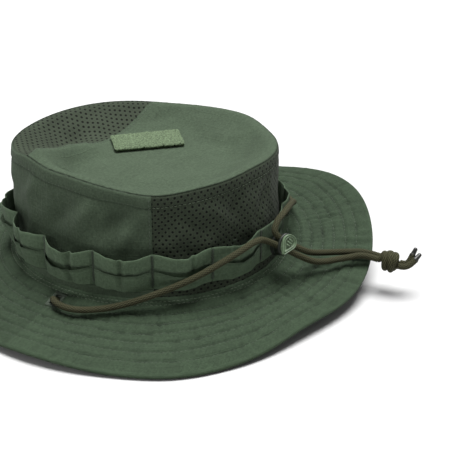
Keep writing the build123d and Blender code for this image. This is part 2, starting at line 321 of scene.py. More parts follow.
def surface(name, columns, rows, place, material, closed=False, skip=None, wear_and_painted_light=None, flip=False):
    """A sheet on a grid. place(column, row) gives a point and its place on the flat cloth.

    In a closed sheet the last column is the first one again, with its own place on the cloth.
    """
    made = [[place(column, row) for row in rows] for column in columns]
    count = len(columns) - 1 if closed else len(columns)
    depth = len(rows)
    vertices = [point for column in made[:count] for point, _ in column]
    faces = []
    uvs = []
    for i in range(len(columns) - 1):
        for j in range(depth - 1):
            if skip and skip(0.5 * (columns[i] + columns[i + 1]), 0.5 * (rows[j] + rows[j + 1])):
                continue
            corners = [(i, j), (i + 1, j), (i + 1, j + 1), (i, j + 1)]
            if flip:
                corners.reverse()
            faces.append([(a % count) * depth + b for a, b in corners])
            uvs.extend(made[a][b][1] for a, b in corners)
    wear_and_shade = None
    if wear_and_painted_light:
        wear_and_shade = [wear_and_painted_light(column, row) for column in columns[:count] for row in rows]
    return mesh_piece(name, vertices, faces, material, uvs, wear_and_shade)


def thicken(piece, thickness, offset=-1.0):
    modifier = piece.modifiers.new("thickness", "SOLIDIFY")
    modifier.thickness = thickness
    modifier.offset = offset
    modifier.use_even_offset = False
    return piece


def steps(low, high, count):
    return [low + (high - low) * i / count for i in range(count + 1)]


def turns(count):
    """The angles of count points round a circle, in radians."""
    return [2 * pi * k / count for k in range(count)]


def on_ring(side, up, reach, turn):
    return side * (reach * cos(turn)) + up * (reach * sin(turn))


# ---- materials -------------------------------------------------------
class Finish:
    """A material under construction: short calls that add and join shader nodes."""

    def __init__(self, name, roughness, sheen=0.0, specular=0.5, metallic=0.0):
        self.material = bpy.data.materials.new(name)
        self.material.use_nodes = True
        self.tree = self.material.node_tree
        self.shader = self.tree.nodes["Principled BSDF"]
        self.shader.inputs["Roughness"].default_value = roughness
        self.shader.inputs["Sheen Weight"].default_value = sheen
        self.shader.inputs["Sheen Roughness"].default_value = 0.5
        self.shader.inputs["Specular IOR Level"].default_value = specular
        self.shader.inputs["Metallic"].default_value = metallic

    def node(self, kind, **inputs):
        made = self.tree.nodes.new("ShaderNode" + kind)
        for key, value in inputs.items():
            self.put(made.inputs[key.replace("_", " ")], value)
        return made

    def put(self, socket, value):
        if isinstance(value, bpy.types.NodeSocket):
            self.tree.links.new(value, socket)
        else:
            socket.default_value = value

    def math(self, operation, a, b=0.0, c=0.0):
        made = self.tree.nodes.new("ShaderNodeMath")
        made.operation = operation
        for socket, value in zip(made.inputs, (a, b, c)):
            self.put(socket, value)
        return made.outputs[0]

    def times(self, a, b):
        return self.math("MULTIPLY", a, b)

    def plus(self, a, b):
        return self.math("ADD", a, b)

    def cloth_place(self):
        """The two places on the flat cloth, in metres."""
        uv = self.tree.nodes.new("ShaderNodeUVMap")
        uv.uv_map = "cloth"
        split = self.node("SeparateXYZ", Vector=uv.outputs[0])
        return split.outputs[0], split.outputs[1]

    def ramp(self, value, low, high, from_low=0.0, from_high=1.0):
        """Turns low to high into from_low to from_high, and holds both ends."""
        made = self.node("MapRange", Value=value, From_Min=low, From_Max=high)
        self.put(made.inputs["To Min"], from_low)
        self.put(made.inputs["To Max"], from_high)
        return made.outputs[0]

    def noise(self, size, detail=3.0, roughness=0.55):
        place = self.tree.nodes.new("ShaderNodeTexCoord").outputs["Object"]
        made = self.node("TexNoise", Vector=place, Scale=1.0 / size, Detail=detail, Roughness=roughness)
        return made.outputs[0]

    def wave(self, value, pitch):
        """From 0 to 1 and back once in each pitch."""
        turned = self.math("SINE", self.times(value, 2 * pi / pitch))
        return self.math("MULTIPLY_ADD", turned, 0.5, 0.5)

    def thread_line(self, value, pitch, sharpness):
        """Thin raised threads, one in each pitch."""
        return self.math("POWER", self.wave(value, pitch), sharpness)

    def blend(self, factor, a, b):
        made = self.tree.nodes.new("ShaderNodeMix")
        made.data_type = "RGBA"
        self.put(made.inputs[0], factor)
        for socket, value in ((made.inputs[6], a), (made.inputs[7], b)):
            self.put(socket, value if isinstance(value, bpy.types.NodeSocket) else (*value, 1.0))
        return made.outputs[2]

    def tint(self, tone, share, colour, factor):
        """Takes tone towards factor times colour, by share."""
        return self.blend(share, tone, scaled(colour, factor))

    def finish(self, colour, height=None, depth=0.0, roughness=None):
        self.put(self.shader.inputs["Base Color"], colour)
        if roughness is not None:
            self.put(self.shader.inputs["Roughness"], roughness)
        if height is not None:
            relief = self.node("Bump", Height=height, Distance=depth)
            relief.inputs["Strength"].default_value = 1.0
            self.put(self.shader.inputs["Normal"], relief.outputs[0])
        return self.material


def scaled(colour, factor):
    return tuple(channel * factor for channel in colour)


def ripstop(name, colour, square=5.2 * MM, yarn=0.55 * MM, wear_and_highlight_lift=1.35):
    """Ripstop: a plain weave with a doubled yarn along each side of small squares.

    The mesh's point attribute lightens the cloth where it is above 0, for wear and, on the loop tape's folds, a painted
    highlight, and darkens it below 0 as painted shade in folds, seams, stitch rows, tacks and pleats.
    """
    f = Finish(name, 0.85, sheen=0.03, specular=0.14)
    u, v = f.cloth_place()
    weave = f.times(f.wave(u, yarn), f.wave(v, yarn))
    lines = f.math("MAXIMUM", f.thread_line(u, square, 60.0), f.thread_line(v, square, 60.0))
    uneven = f.noise(28 * MM, 4.0)
    slub = f.ramp(f.noise(1.6 * MM, 3.0), 0.35, 0.65)
    tone = f.blend(uneven, scaled(colour, 0.78), scaled(colour, 1.22))
    tone = f.tint(tone, f.times(lines, 0.30), colour, 1.5)
    # Painted shade between the weave's yarns.
    tone = f.tint(tone, f.times(f.math("SUBTRACT", 1.0, weave), 0.22), colour, 0.5)
    tone = f.tint(tone, f.times(slub, 0.50), colour, 0.45)
    wear_and_shade = f.tree.nodes.new("ShaderNodeAttribute")
    wear_and_shade.attribute_name = "wear_and_painted_light"
    # Above 0: wear, and on the loop tape's folds also a painted highlight. Below 0: painted shade.
    rubbed_and_highlit = f.math("MAXIMUM", wear_and_shade.outputs["Fac"], 0.0)
    painted_shade = f.math("MAXIMUM", f.times(wear_and_shade.outputs["Fac"], -1.0), 0.0)
    rubbed_and_highlit = f.times(rubbed_and_highlit, f.math("MULTIPLY_ADD", slub, 0.8, 0.2))
    tone = f.tint(tone, rubbed_and_highlit, colour, wear_and_highlight_lift)
    tone = f.tint(tone, painted_shade, colour, 0.3)
    height = f.plus(f.times(weave, 0.5), lines)
    height = f.plus(height, f.times(slub, 0.5))
    rough = f.math("MULTIPLY_ADD", uneven, 0.14, 0.74)
    return f.finish(tone, height, 0.16 * MM, rough)


def perforated_mesh(name, colour, pitch=4.9 * MM, row=2.9 * MM, hole=1.0 * MM):
    """Warp-knit mesh with staggered round holes and fine vertical wales."""
    f = Finish(name, 0.8, sheen=0.03, specular=0.14)
    u, v = f.cloth_place()
    nearest = []
    for shift in (0.0, 0.5):
        across = f.math("PINGPONG", f.plus(u, pitch * (shift + 50.0)), pitch / 2)
        along = f.math("PINGPONG", f.plus(v, 2 * row * (shift + 50.0)), row)
        squares = f.plus(f.times(across, across), f.times(along, along))
        nearest.append(f.math("SQRT", squares))
    distance = f.math("MINIMUM", nearest[0], nearest[1])
    open_hole = f.ramp(distance, hole * 0.55, hole * 1.15, 1.0, 0.0)
    lip = f.ramp(distance, hole * 1.1, hole * 2.2, 1.0, 0.0)
    wales = f.wave(u, 0.75 * MM)
    courses = f.wave(f.plus(v, f.times(f.wave(u, 1.5 * MM), 0.5 * MM)), 0.95 * MM)
    knit = f.times(wales, courses)
    uneven = f.noise(22 * MM, 4.0)
    tone = f.blend(uneven, scaled(colour, 0.55), scaled(colour, 1.5))
    # Painted shade: the mesh is darker between its knit loops, and its holes are painted near black for the shaded
    # inside seen through them.
    tone = f.tint(tone, f.times(f.math("SUBTRACT", 1.0, knit), 0.45), colour, 0.42)
    tone = f.tint(tone, f.times(lip, 0.35), colour, 1.5)
    tone = f.tint(tone, open_hole, colour, 0.08)
    height = f.math("SUBTRACT", f.times(knit, 0.35), f.times(open_hole, 2.5))
    return f.finish(tone, height, 0.25 * MM)


def braid(name, colour, cell=1.25 * MM, strand_count=9.0):
    """Sheath of a braided cord: two families of strands that cross, seen as small diamonds."""
    f = Finish(name, 0.7, sheen=0.0, specular=0.12)
    u, v = f.cloth_place()
    round_pitch = pi * cord_diameter / strand_count
    around = f.times(v, 1.0 / round_pitch)
    along = f.times(u, 1.0 / (2 * cell))
    one = f.wave(f.plus(along, around), 1.0)
    other = f.wave(f.math("SUBTRACT", along, around), 1.0)
    strands = f.math("MAXIMUM", one, other)
    both = f.times(one, other)
    filaments = f.wave(f.plus(along, around), 0.22)
    uneven = f.noise(9 * MM, 3.0)
    tone = f.blend(uneven, scaled(colour, 0.75), scaled(colour, 1.25))
    # Painted shade in the grooves between strands, and a painted highlight where the strands cross.
    tone = f.tint(tone, f.times(f.math("SUBTRACT", 1.0, strands), 0.95), colour, 0.15)
    tone = f.tint(tone, f.times(both, 0.6), colour, 2.4)
    height = f.plus(strands, f.times(filaments, 0.15))
    return f.finish(tone, height, 0.35 * MM)


def plain_fibre(name, colour, size, depth, roughness=0.8, sheen=0.2, contrast=0.3):
    """Felt, pile, thread and other short-fibred surfaces."""
    f = Finish(name, roughness, sheen=sheen, specular=0.3)
    fine = f.noise(size, 5.0, 0.7)
    uneven = f.noise(size * 14, 3.0)
    dark, light = scaled(colour, 1.0 - contrast), scaled(colour, 1.0 + contrast)
    tone = f.blend(f.ramp(fine, 0.38, 0.62), dark, light)
    tone = f.tint(tone, f.times(uneven, 0.35), colour, 0.8)
    return f.finish(tone, fine, depth, f.math("MULTIPLY_ADD", fine, 0.1, roughness - 0.05))


def moulded(name, colour, roughness, grain=0.5 * MM, depth=0.02 * MM):
    """Moulded plastic with a fine spark-eroded grain and light scuffs."""
    f = Finish(name, roughness, specular=0.5)
    fine = f.noise(grain, 4.0, 0.7)
    scuffs = f.noise(3.5 * MM, 6.0, 0.75)
    tone = f.blend(scuffs, scaled(colour, 0.8), scaled(colour, 1.2))
    rough = f.math("MULTIPLY_ADD", scuffs, 0.25, roughness - 0.12)
    return f.finish(tone, fine, depth, rough)


def steel(name, colour):
    f = Finish(name, 0.3, metallic=1.0)
    drawn = f.noise(0.4 * MM, 3.0)
    tone = f.blend(drawn, scaled(colour, 0.85), scaled(colour, 1.1))
    return f.finish(tone, drawn, 0.01 * MM, f.math("MULTIPLY_ADD", drawn, 0.2, 0.22))


# The brim and the loop tape are the crown's own ripstop: the brim's colour is darkened as painted shade, the tape's
# lightened as painted light.
crown_colour = (0.0640, 0.0920, 0.0575)
brim_shaded_colour = (0.0400, 0.0635, 0.0360)
band_lit_colour = (0.0980, 0.1450, 0.0880)
ripstop_crown = ripstop("ripstop_crown", crown_colour)
ripstop_brim = ripstop("ripstop_brim", brim_shaded_colour)
ripstop_band = ripstop("ripstop_band", band_lit_colour, square=4.6 * MM)
mesh_cloth = perforated_mesh("mesh", (0.037, 0.049, 0.031))
sweatband_cloth = ripstop("sweatband", (0.040, 0.056, 0.038), square=3.0 * MM, yarn=0.9 * MM)
interlining_felt = plain_fibre("interlining", (0.12, 0.13, 0.11), 0.5 * MM, 0.1 * MM)
pile = plain_fibre("loop_pile", (0.106, 0.150, 0.082), 1.1 * MM, 1.0 * MM, contrast=0.55, sheen=0.02)
thread = plain_fibre("thread", (0.085, 0.115, 0.072), 0.25 * MM, 0.05 * MM, roughness=0.6)
dark_thread = plain_fibre("thread_dark", (0.044, 0.062, 0.040), 0.25 * MM, 0.05 * MM, roughness=0.6)
cord_sheath = braid("cord", (0.043, 0.043, 0.0225))
tip_melt = moulded("cord_tip", (0.012, 0.012, 0.011), 0.35)
lock_body_plastic = moulded("lock_body", (0.010, 0.013, 0.009), 0.4)
lock_button_plastic = moulded("lock_button", (0.150, 0.215, 0.130), 0.28)
spring_wire = steel("spring_steel", (0.55, 0.56, 0.58))

# ---- camera ----------------------------------------------------------
camera_data = bpy.data.cameras.new("camera")
camera_data.lens = 106.15
camera_data.sensor_width = 36.0
camera_data.clip_start = 0.01
camera = bpy.data.objects.new("camera", camera_data)
camera.location = (0.6828, 0.5629, 0.4920)
camera.rotation_euler = (radians(90.0 - 27.75), 0.0, radians(125.68))
bpy.context.scene.collection.objects.link(camera)
bpy.context.scene.camera = camera

# ---- chin cords, knot and tails --------------------------------------
# The lock's face, the way it faces and the way the cords run through it. Then the knot's
# middle and its own axes.
lock_face = Vector((-8.0, 117.0, 49.0)) * MM
lock_out = Vector((0.338, 0.838, 0.429)).normalized()
cord_way = Vector((-0.6368, 0.5391, -0.5513)).normalized()
lock_across = lock_out.cross(cord_way).normalized()
lock_along = lock_across.cross(lock_out)
cord_hole = lock_face - lock_out * 7.9 * MM
cord_pitch = 2.45 * MM
knot_centre = Vector((-68.5, 162.7, 23.2)) * MM
knot_way = Vector((-0.237, 0.971, -0.15)).normalized()
knot_side = Vector((-0.971, -0.237, 0.0)).normalized()
knot_up = knot_way.cross(knot_side)
knot_half = 7.5 * MM
# How far the cords run straight before the lock, by side, and past it.
lock_lead = {-1: 14.0 * MM, 1: 10.0 * MM}
lock_run_out = 16.0 * MM


def through_lock(side):
    middle = cord_hole + lock_across * (cord_pitch * side)
    return [middle - lock_along * lock_lead[side], middle + lock_along * lock_run_out]


def into_knot(side):
    end = knot_centre - knot_way * knot_half + knot_side * (cord_pitch * side)
    return [end - knot_way * 11.0 * MM, end]


def route_points(*points):
    return [Vector(point) * MM for point in points]


left_route = [
    *route_points(
        (92.5, 1.0, 13.5),
        (98.3, 1.0, 13.5),
        (104.0, 1.2, 17.4),
        (108.8, 2.2, 22.4),
        (112.4, 9.2, 22.2),
        (111.6, 19.5, 21.2),
        (106.4, 31.0, 21.6),
        (95.0, 46.0, 23.6),
        (79.0, 65.6, 31.5),
        (56.6, 86.0, 42.0),
        (29.5, 100.6, 53.5),
        (12.5, 103.9, 57.0),
    ),
    *through_lock(-1),
    *route_points(
        (-28.5, 124.6, 28.2),
        (-38.0, 129.4, 25.8),
        (-47.5, 133.6, 24.9),
        (-55.4, 138.6, 24.6),
    ),
    *into_knot(-1),
]
right_route = [
    *route_points(
        (-92.5, 1.0, 16.2),
        (-98.3, 1.0, 16.2),
        (-103.6, 1.2, 20.4),
        (-108.0, 1.8, 26.4),
        (-112.4, 9.0, 28.0),
        (-113.6, 22.0, 28.3),
        (-110.5, 35.0, 29.9),
        (-104.0, 48.0, 31.0),
        (-95.5, 59.5, 32.0),
        (-85.5, 69.0, 36.0),
        (-74.0, 77.5, 43.0),
        (-62.0, 85.0, 50.5),
        (-49.5, 91.5, 56.5),
        (-37.0, 97.0, 60.0),
        (-24.5, 101.3, 61.5),
        (-13.5, 102.9, 60.5),
    ),
    *through_lock(1),
    *route_points(
        (-33.0, 118.6, 31.8),
        (-43.0, 121.0, 27.9),
        (-52.7, 126.9, 26.0),
        (-61.0, 134.8, 25.2),
    ),
    *into_knot(1),
]


def spline_line(route, spacing=0.4 * MM):
    """Evenly spaced points of the NURBS spline with these control points."""
    data = bpy.data.curves.new("line", "CURVE")
    data.dimensions = "3D"
    data.resolution_u = 24
    spline = data.splines.new("NURBS")
    spline.points.add(len(route) - 1)
    for point, place in zip(spline.points, route):
        point.co = (*place, 1.0)
    spline.order_u = 3
    spline.use_endpoint_u = True
    holder = bpy.data.objects.new("line", data)
    mesh = bpy.data.meshes.new_from_object(holder)
    raw = [vertex.co.copy() for vertex in mesh.vertices]
    bpy.data.objects.remove(holder)
    bpy.data.curves.remove(data)
    bpy.data.meshes.remove(mesh)
    length = sum((b - a).length for a, b in zip(raw, raw[1:]))
    count = max(int(length / spacing), 8)
    even = [raw[0]]
    behind = 0.0
    target = length / count
    for a, b in zip(raw, raw[1:]):
        run = (b - a).length
        while run > 0 and behind + run >= target * len(even) and len(even) < count:
            even.append(a.lerp(b, (target * len(even) - behind) / run))
        behind += run
    even.append(raw[-1])
    return even, length


def braided_tube(
    name, lines, material, radius=cord_diameter / 2, sides=40, strand_count=9, cell=1.25 * MM
):
    """Tubes along lines, whose surface rises and falls over the strands of the braid."""
    vertices = []
    faces = []
    uvs = []
    for line in lines:
        start = len(vertices)
        way = (line[1] - line[0]).normalized()
        side = way.orthogonal().normalized()
        along = 0.0
        places = []
        for i, point in enumerate(line):
            ahead = line[min(i + 1, len(line) - 1)] - line[max(i - 1, 0)]
            way = ahead.normalized()
            side = (side - way * side.dot(way)).normalized()
            up = way.cross(side)
            if i:
                along += (point - line[i - 1]).length
            places.append(along)
            phase = pi * along / cell
            for turn in turns(sides):
                one = 0.5 + 0.5 * sin(phase + strand_count * turn)
                other = 0.5 + 0.5 * sin(phase - strand_count * turn)
                relief = max(one, other) ** 0.7
                reach = radius * (0.93 + 0.07 * relief)
                vertices.append(point + on_ring(side, up, reach, turn))
        rings = len(line)
        for i in range(rings - 1):
            for k in range(sides):
                corners = [(i, k), (i, k + 1), (i + 1, k + 1), (i + 1, k)]
                faces.append([start + a * sides + b % sides for a, b in corners])
                uvs.extend((places[a], 2 * pi * radius * b / sides) for a, b in corners)
        for ring, order in ((0, range(sides - 1, -1, -1)), (rings - 1, range(sides))):
            faces.append([start + ring * sides + k for k in order])
            uvs.extend((places[ring], 2 * pi * radius * k / sides) for k in order)
    return mesh_piece(name, vertices, faces, material, uvs)


left_line, left_length = spline_line(left_route)
right_line, right_length = spline_line(right_route)
left_cord = braided_tube("cord_left", [left_line], cord_sheath)
right_cord = braided_tube("cord_right", [right_line], cord_sheath)
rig.replaces(left_cord, "chin_cord_left")
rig.replaces(right_cord, "chin_cord_right")


def knot_place(x, y, z):
    return knot_centre + (knot_side * x + knot_up * y + knot_way * z) * MM


def knot_route(side):
    """One of the two cords through an overhand knot: up, across the front, round the back and
    out under its own first turn."""
    lay = 2.1 * side
    return [
        knot_place(2.45 * side, 0.0, -7.5),
        knot_place(2.3 * side, 1.2, -5.2),
        knot_place(1.2, 5.4, -2.8 + lay * 0.7),
        knot_place(-4.6, 4.4, -0.6 + lay),
        knot_place(-6.1, -1.8, 0.6 + lay),
        knot_place(-1.2, -6.3, 0.9 + lay),
        knot_place(4.9, -3.9, -1.2 + lay),
        knot_place(5.9, 2.2, -0.9 + lay),
        knot_place(1.6, 5.9, 2.4 + lay * 0.8),
        knot_place(-3.9, 4.9, 4.0 + lay * 0.6),
        knot_place(-5.0, -0.6, 2.4 + lay * 0.4),
        knot_place(-1.4, -4.4, 3.4 + lay * 0.4),
        knot_place(1.6 * side, -1.6, 5.2),
        knot_place(2.45 * side, 0.0, 7.5),
    ]


def tail_route(side, spread, reach):
    start = knot_centre + knot_way * knot_half + knot_side * (cord_pitch * side)
    first_bend = start + knot_way * 3.5 * MM
    way_between = (knot_way + spread.normalized()).normalized()
    second_bend = first_bend + way_between * reach
    return [start, first_bend, second_bend, second_bend + spread.normalized() * 6.0 * MM]


tail_routes = [
    tail_route(1, Vector((-0.62, 0.10, 0.78)), 3.5 * MM),
    tail_route(-1, Vector((-0.80, 0.25, 0.54)), 5.5 * MM),
]
knot = braided_tube("knot", [spline_line(knot_route(side))[0] for side in (1, -1)], cord_sheath)
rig.replaces(knot, "cord_knot")
tails = []
for number, route in enumerate(tail_routes):
    tail = braided_tube(f"tail_{number + 1}", [spline_line(route)[0]], cord_sheath)
    tails.append(tail)
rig.replaces(tails[0], "cord_tails")


def stack(name, outlines, material):
    """A solid skin through a stack of outlines, each with the same number of points."""
    count = len(outlines[0])
    vertices = [point for outline in outlines for point in outline]
    faces = []
    for i in range(len(outlines) - 1):
        for k in range(count):
            after = (k + 1) % count
            a, b = i * count, (i + 1) * count
            faces.append([a + k, a + after, b + after, b + k])
    faces.append(list(range(count - 1, -1, -1)))
    top = (len(outlines) - 1) * count
    faces.append([top + k for k in range(count)])
    uvs = [(vertices[v].x, vertices[v].y) for face in faces for v in face]
    return mesh_piece(name, vertices, faces, material, uvs)


def tip_outlines(route):
    """Rings of a melted end, at the end of that tail's route."""
    way = (route[-1] - route[-2]).normalized()
    side = way.orthogonal().normalized()
    up = way.cross(side)
    # Place along the end and radius, in millimetres.
    profile = [(-1.2, 2.28), (-0.9, 2.34), (0.0, 2.2), (0.8, 1.75), (2.2, 1.65), (4.4, 1.5)]
    profile += [(5.1, 1.2), (5.5, 0.5)]
    rings = []
    for along, radius in profile:
        ring = []
        for turn in turns(20):
            reach = radius * MM * (1.0 + 0.05 * sin(3 * turn + along))
            ring.append(route[-1] + way * along * MM + on_ring(side, up, reach, turn))
        rings.append(ring)
    return rings


tips = [stack(f"cord_tip_{i + 1}", tip_outlines(route), tip_melt) for i, route in enumerate(tail_routes)]
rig.replaces(tips[0], "cord_tips")
for piece in (left_cord, right_cord, knot, *tails, *tips):
    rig.ride(piece, "hat")

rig.cord(
    left_cord,
    exit=left_route[0],
    length=left_length,
    diameter=cord_diameter,
    far_end="knot",
    stiffness="limp",
    lay="loose",
    path=left_line,
    with_pieces=[knot, *tails, *tips],
)
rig.cord(
    right_cord,
    exit=right_route[0],
    length=right_length,
    diameter=cord_diameter,
    far_end="knot",
    stiffness="limp",
    lay="loose",
    path=right_line,
    with_pieces=[knot],
)

# ---- crown wall ------------------------------------------------------
allowance = 9.0 * MM  # the top seam's allowance, sewn down under the wall's topstitching
wall_degree = 1.55  # millimetres round the wall for each degree
# The radius at which each curved cloth is unrolled, for its place on the flat cloth.
wall_unroll = 0.09
band_unroll = 0.097
lining_unroll = 0.088

# Folds in the wall's cloth: two ends, each an angle round the crown and a height in
# millimetres, then depth and half width in millimetres. A depth below 0 is a ridge.
wall_folds = [
    ((30.0, 90.0), (17.0, 66.0), 4.2, 5.0),
    ((16.0, 92.0), (4.0, 68.0), -3.4, 6.0),
    ((31.0, 74.0), (26.0, 60.0), -3.0, 4.5),
    ((2.0, 84.0), (-12.0, 64.0), 3.4, 6.0),
    ((-20.0, 90.0), (-34.0, 66.0), -2.6, 8.0),
    ((50.0, 84.0), (66.0, 66.0), 2.6, 4.5),
    ((66.0, 86.0), (80.0, 66.0), -2.4, 5.0),
    ((84.0, 88.0), (76.0, 70.0), 2.2, 4.0),
    ((104.0, 84.0), (94.0, 64.0), 2.4, 5.0),
    ((146.0, 88.0), (158.0, 66.0), 3.0, 7.0),
    ((186.0, 88.0), (178.0, 66.0), -2.6, 8.0),
    ((222.0, 88.0), (236.0, 64.0), 3.2, 6.0),
    ((262.0, 86.0), (252.0, 66.0), -2.8, 8.0),
    ((300.0, 88.0), (312.0, 66.0), 2.8, 6.0),
]


def along_fold(place, run):
    """Where place lies along a fold from 0 to 1, and how far it is from the fold."""
    along = min(max(place.dot(run) / run.dot(run), 0.0), 1.0)
    return along, (place - run * along).length


def wall_fold(angle, z):
    """How far the wall's folds sink in at this place, in metres."""
    total = 0.0
    for (first, high), (last, low), depth, width in wall_folds:
        run = Vector(((last - first) * wall_degree, low - high))
        place = Vector((turn_between(angle, first) * wall_degree, z / MM - high))
        along, away = along_fold(place, run)
        total += depth * MM * bump(away, width) * (0.4 + 0.6 * sin(pi * along))
    return total


def wall_relief(angle, z):
    """How far the wall stands off its plain shape."""
    below_rim = rim_z - z
    rounding = -0.7 * MM * bump(below_rim - 0.5 * MM, 0.5 * MM)
    padding = 0.7 * MM * smooth(0.0, 2.0 * MM, below_rim)
    padding *= 1.0 - smooth(allowance - MM, allowance + MM, below_rim)
    place = polar(0.1, angle, 0.0)
    wander = 0.35 * MM * soft(place.x, place.y, 0.7, 13 * MM)
    row = -0.75 * MM * bump(below_rim - allowance - wander, 0.8 * MM)
    free = smooth(0.0, 20 * MM, below_rim) * smooth(0.0, 12 * MM, z - seam_z)
    folds = 3.0 * MM * soft(place.x, place.y, z * 0.55, 26 * MM)
    folds += 1.0 * MM * soft(place.x, place.y, z * 0.8 + 0.3, 10 * MM)
    folds -= wall_fold(angle, z)
    puckers = 0.30 * MM * soft(place.x, place.y, 0.0, 2.4 * MM) * bump(below_rim - allowance, 4 * MM)
    puckers += 0.22 * MM * soft(place.x, place.y, 0.5, 2.0 * MM) * bump(below_rim, 3 * MM)
    return rounding + padding + row + free * folds + puckers


def wall_place(angle, z, out=0.0):
    """A point of the wall, named by its height on the plain crown."""
    share = (z - seam_z) / (rim_z - seam_z)
    swell = around(angle, rim_swells) * smooth(0.1, 0.75, share)
    radius = wall_radius(angle, z) + swell + wall_relief(angle, z) + out
    return polar(radius, angle, z + around(angle, rim_heights) * smooth(0.35, 1.0, share))


def wall_grid(out):
    def place(angle, z):
        return wall_place(angle, z, out), (radians(angle) * wall_unroll, z)

    return place


def wall_wear_and_shade(angle, z):
    """The wall is rubbed lighter by its rim, and has painted shade in its folds, in the rim seam and in the row's
    groove.
    """
    below_rim = rim_z - z
    wear_and_shade = 0.25 * bump(below_rim - 1.6 * MM, 0.8 * MM)
    # Painted shade in the folds, the rim seam and the topstitch row's groove.
    wear_and_shade -= 0.18 * max(wall_fold(angle, z) / (4 * MM), 0.0)
    wear_and_shade -= 0.95 * bump(below_rim - 0.4 * MM, 0.6 * MM)
    return wear_and_shade - 0.45 * bump(below_rim - allowance - 0.8 * MM, 0.6 * MM)


seam_overlap_angle = 3.6
wall_rows = steps(seam_z - MM, rim_z - 0.2 * MM, 64)
cloth_columns = steps(cloth_edge[1], cloth_edge[0] + 360.0, 260)
wall_cloth = surface(
    "crown_wall_cloth", cloth_columns, wall_rows, wall_grid(0.0), ripstop_crown, wear_and_painted_light=wall_wear_and_shade
)
thicken(wall_cloth, cloth)
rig.replaces(wall_cloth, "crown_wall_panel")
mesh_columns = steps(cloth_edge[0] - seam_overlap_angle, cloth_edge[1] + seam_overlap_angle, 110)
wall_mesh = surface("crown_wall_mesh_cloth", mesh_columns, wall_rows, wall_grid(-0.55 * MM), mesh_cloth)
thicken(wall_mesh, mesh_thickness)
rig.replaces(wall_mesh, "crown_wall_mesh")

# ---- crown top -------------------------------------------------------
# Folds in the top's cloth: two ends, depth and half width in millimetres. A depth below 0 is a
# ridge. All depths are made fold_gain times as large.
fold_gain = 1.3
top_folds = [
    ((56.0, -16.0), (66.0, -24.0), 2.2, 2.6),
    ((10.0, -43.0), (72.0, -41.0), -8.6, 11.0),
    ((16.0, -30.0), (70.0, 14.0), -1.5, 9.0),
    ((56.0, -2.0), (66.0, 6.0), 1.6, 2.2),
    ((48.0, 6.0), (72.0, 34.0), 1.2, 6.0),
    ((-40.0, 14.0), (6.0, 46.0), 1.3, 8.0),
    ((-62.0, 0.0), (-50.0, 50.0), -1.2, 9.0),
    ((-12.0, 60.0), (40.0, 54.0), 1.3, 6.0),
    ((-66.0, -20.0), (-34.0, -44.0), 1.4, 6.0),
    ((-10.0, -66.0), (20.0, -58.0), 1.5, 6.0),
]


def fold_depth(x, y):
    """How far the top's folds sink at this place, in metres."""
    total = 0.0
    place = Vector((x, y)) / MM
    for start, end, depth, width in top_folds:
        along, away = along_fold(place - Vector(start), Vector(end) - Vector(start))
        total += fold_gain * depth * MM * bump(away, width) * (0.35 + 0.65 * sin(pi * along))
    return total


def top_height(x, y):
    """Height of the crown's top, which is dished inside its rim and flat under the patch."""
    angle = degrees(atan2(y, x))
    out = hypot(x, y) / rim_radius(angle)
    dish = dish_depth * smooth(0.0, 0.44, 1.0 - out)
    level = around(angle, rim_heights) * smooth(0.50, 1.0, out)
    rim_roll = -0.5 * MM * (1.0 - smooth(0.0, 0.012, 1.0 - out)) ** 2
    puff = 1.0 * MM * bump(out - 0.93, 0.05)
    off_patch = smooth(25 * MM, 38 * MM, hypot(x - patch_centre.x, y - patch_centre.y))
    loose = 2.4 * MM * soft(x, y, 0.0, 34 * MM) + 1.1 * MM * soft(x, y, 0.1, 12 * MM)
    free = smooth(0.0, 0.12, 1.0 - out)
    puckers = 0.35 * MM * soft(x, y, 0.0, 2.4 * MM) * bump(out - 0.98, 0.03)
    height = rim_z - 0.1 * MM - dish + rim_roll + puff + puckers + level
    return height + off_patch * free * (loose - fold_depth(x, y))


def top_seam_line(x):
    """The seam between the top's cloth and its mesh segment wanders a little."""
    return top_seam_y + 1.2 * MM * soft(x, 0.0, 0.2, 22 * MM)


def top_surface(name, material, keeps, drop, wear_and_painted_light=None):
    """The crown's top from its middle out to the rim, with the faces that keeps(x, y) wants."""
    angles = steps(0.0, 360.0, 300)
    shares = [0.0008] + steps(0.02, 1.0, 74)

    def place(turn, share):
        reach = share * (rim_radius(turn) - 0.25 * MM)
        flat = polar(reach, turn, 0.0)
        height = top_height(flat.x, flat.y) - drop
        return Vector((flat.x, flat.y, height)), (flat.x, flat.y)

    def skip(turn, share):
        flat = polar(share * rim_radius(turn), turn, 0.0)
        return not keeps(flat.x, flat.y)

    return surface(
        name, angles, shares, place, material, closed=True, skip=skip, wear_and_painted_light=wear_and_painted_light, flip=True
    )


def trim(piece):
    """Moves the points just past the top's seam onto it, which gives the cloth a clean edge."""
    for vertex in piece.data.vertices:
        seam_y = top_seam_line(vertex.co.x)
        if -2.6 * MM < vertex.co.y - seam_y <= 0.0:
            vertex.co.y = seam_y
            vertex.co.z = top_height(vertex.co.x, seam_y)
    piece.data.update()


def top_seam_shade(turn, share):
    """The top has painted shade along its rim seam only."""
    return -0.8 * bump(1.0 - share, 0.006)


def in_cloth(x, y):
    return y > top_seam_line(x) - 1.3 * MM


def in_mesh_segment(x, y):
    return y < top_seam_line(x) + 5.0 * MM


top_cloth = top_surface("crown_top_cloth", ripstop_crown, in_cloth, 0.0, top_seam_shade)
trim(top_cloth)
thicken(top_cloth, cloth)
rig.replaces(top_cloth, "crown_top_panel")
top_mesh = top_surface("crown_top_mesh_cloth", mesh_cloth, in_mesh_segment, 0.6 * MM)
thicken(top_mesh, mesh_thickness)
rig.replaces(top_mesh, "crown_top_mesh")


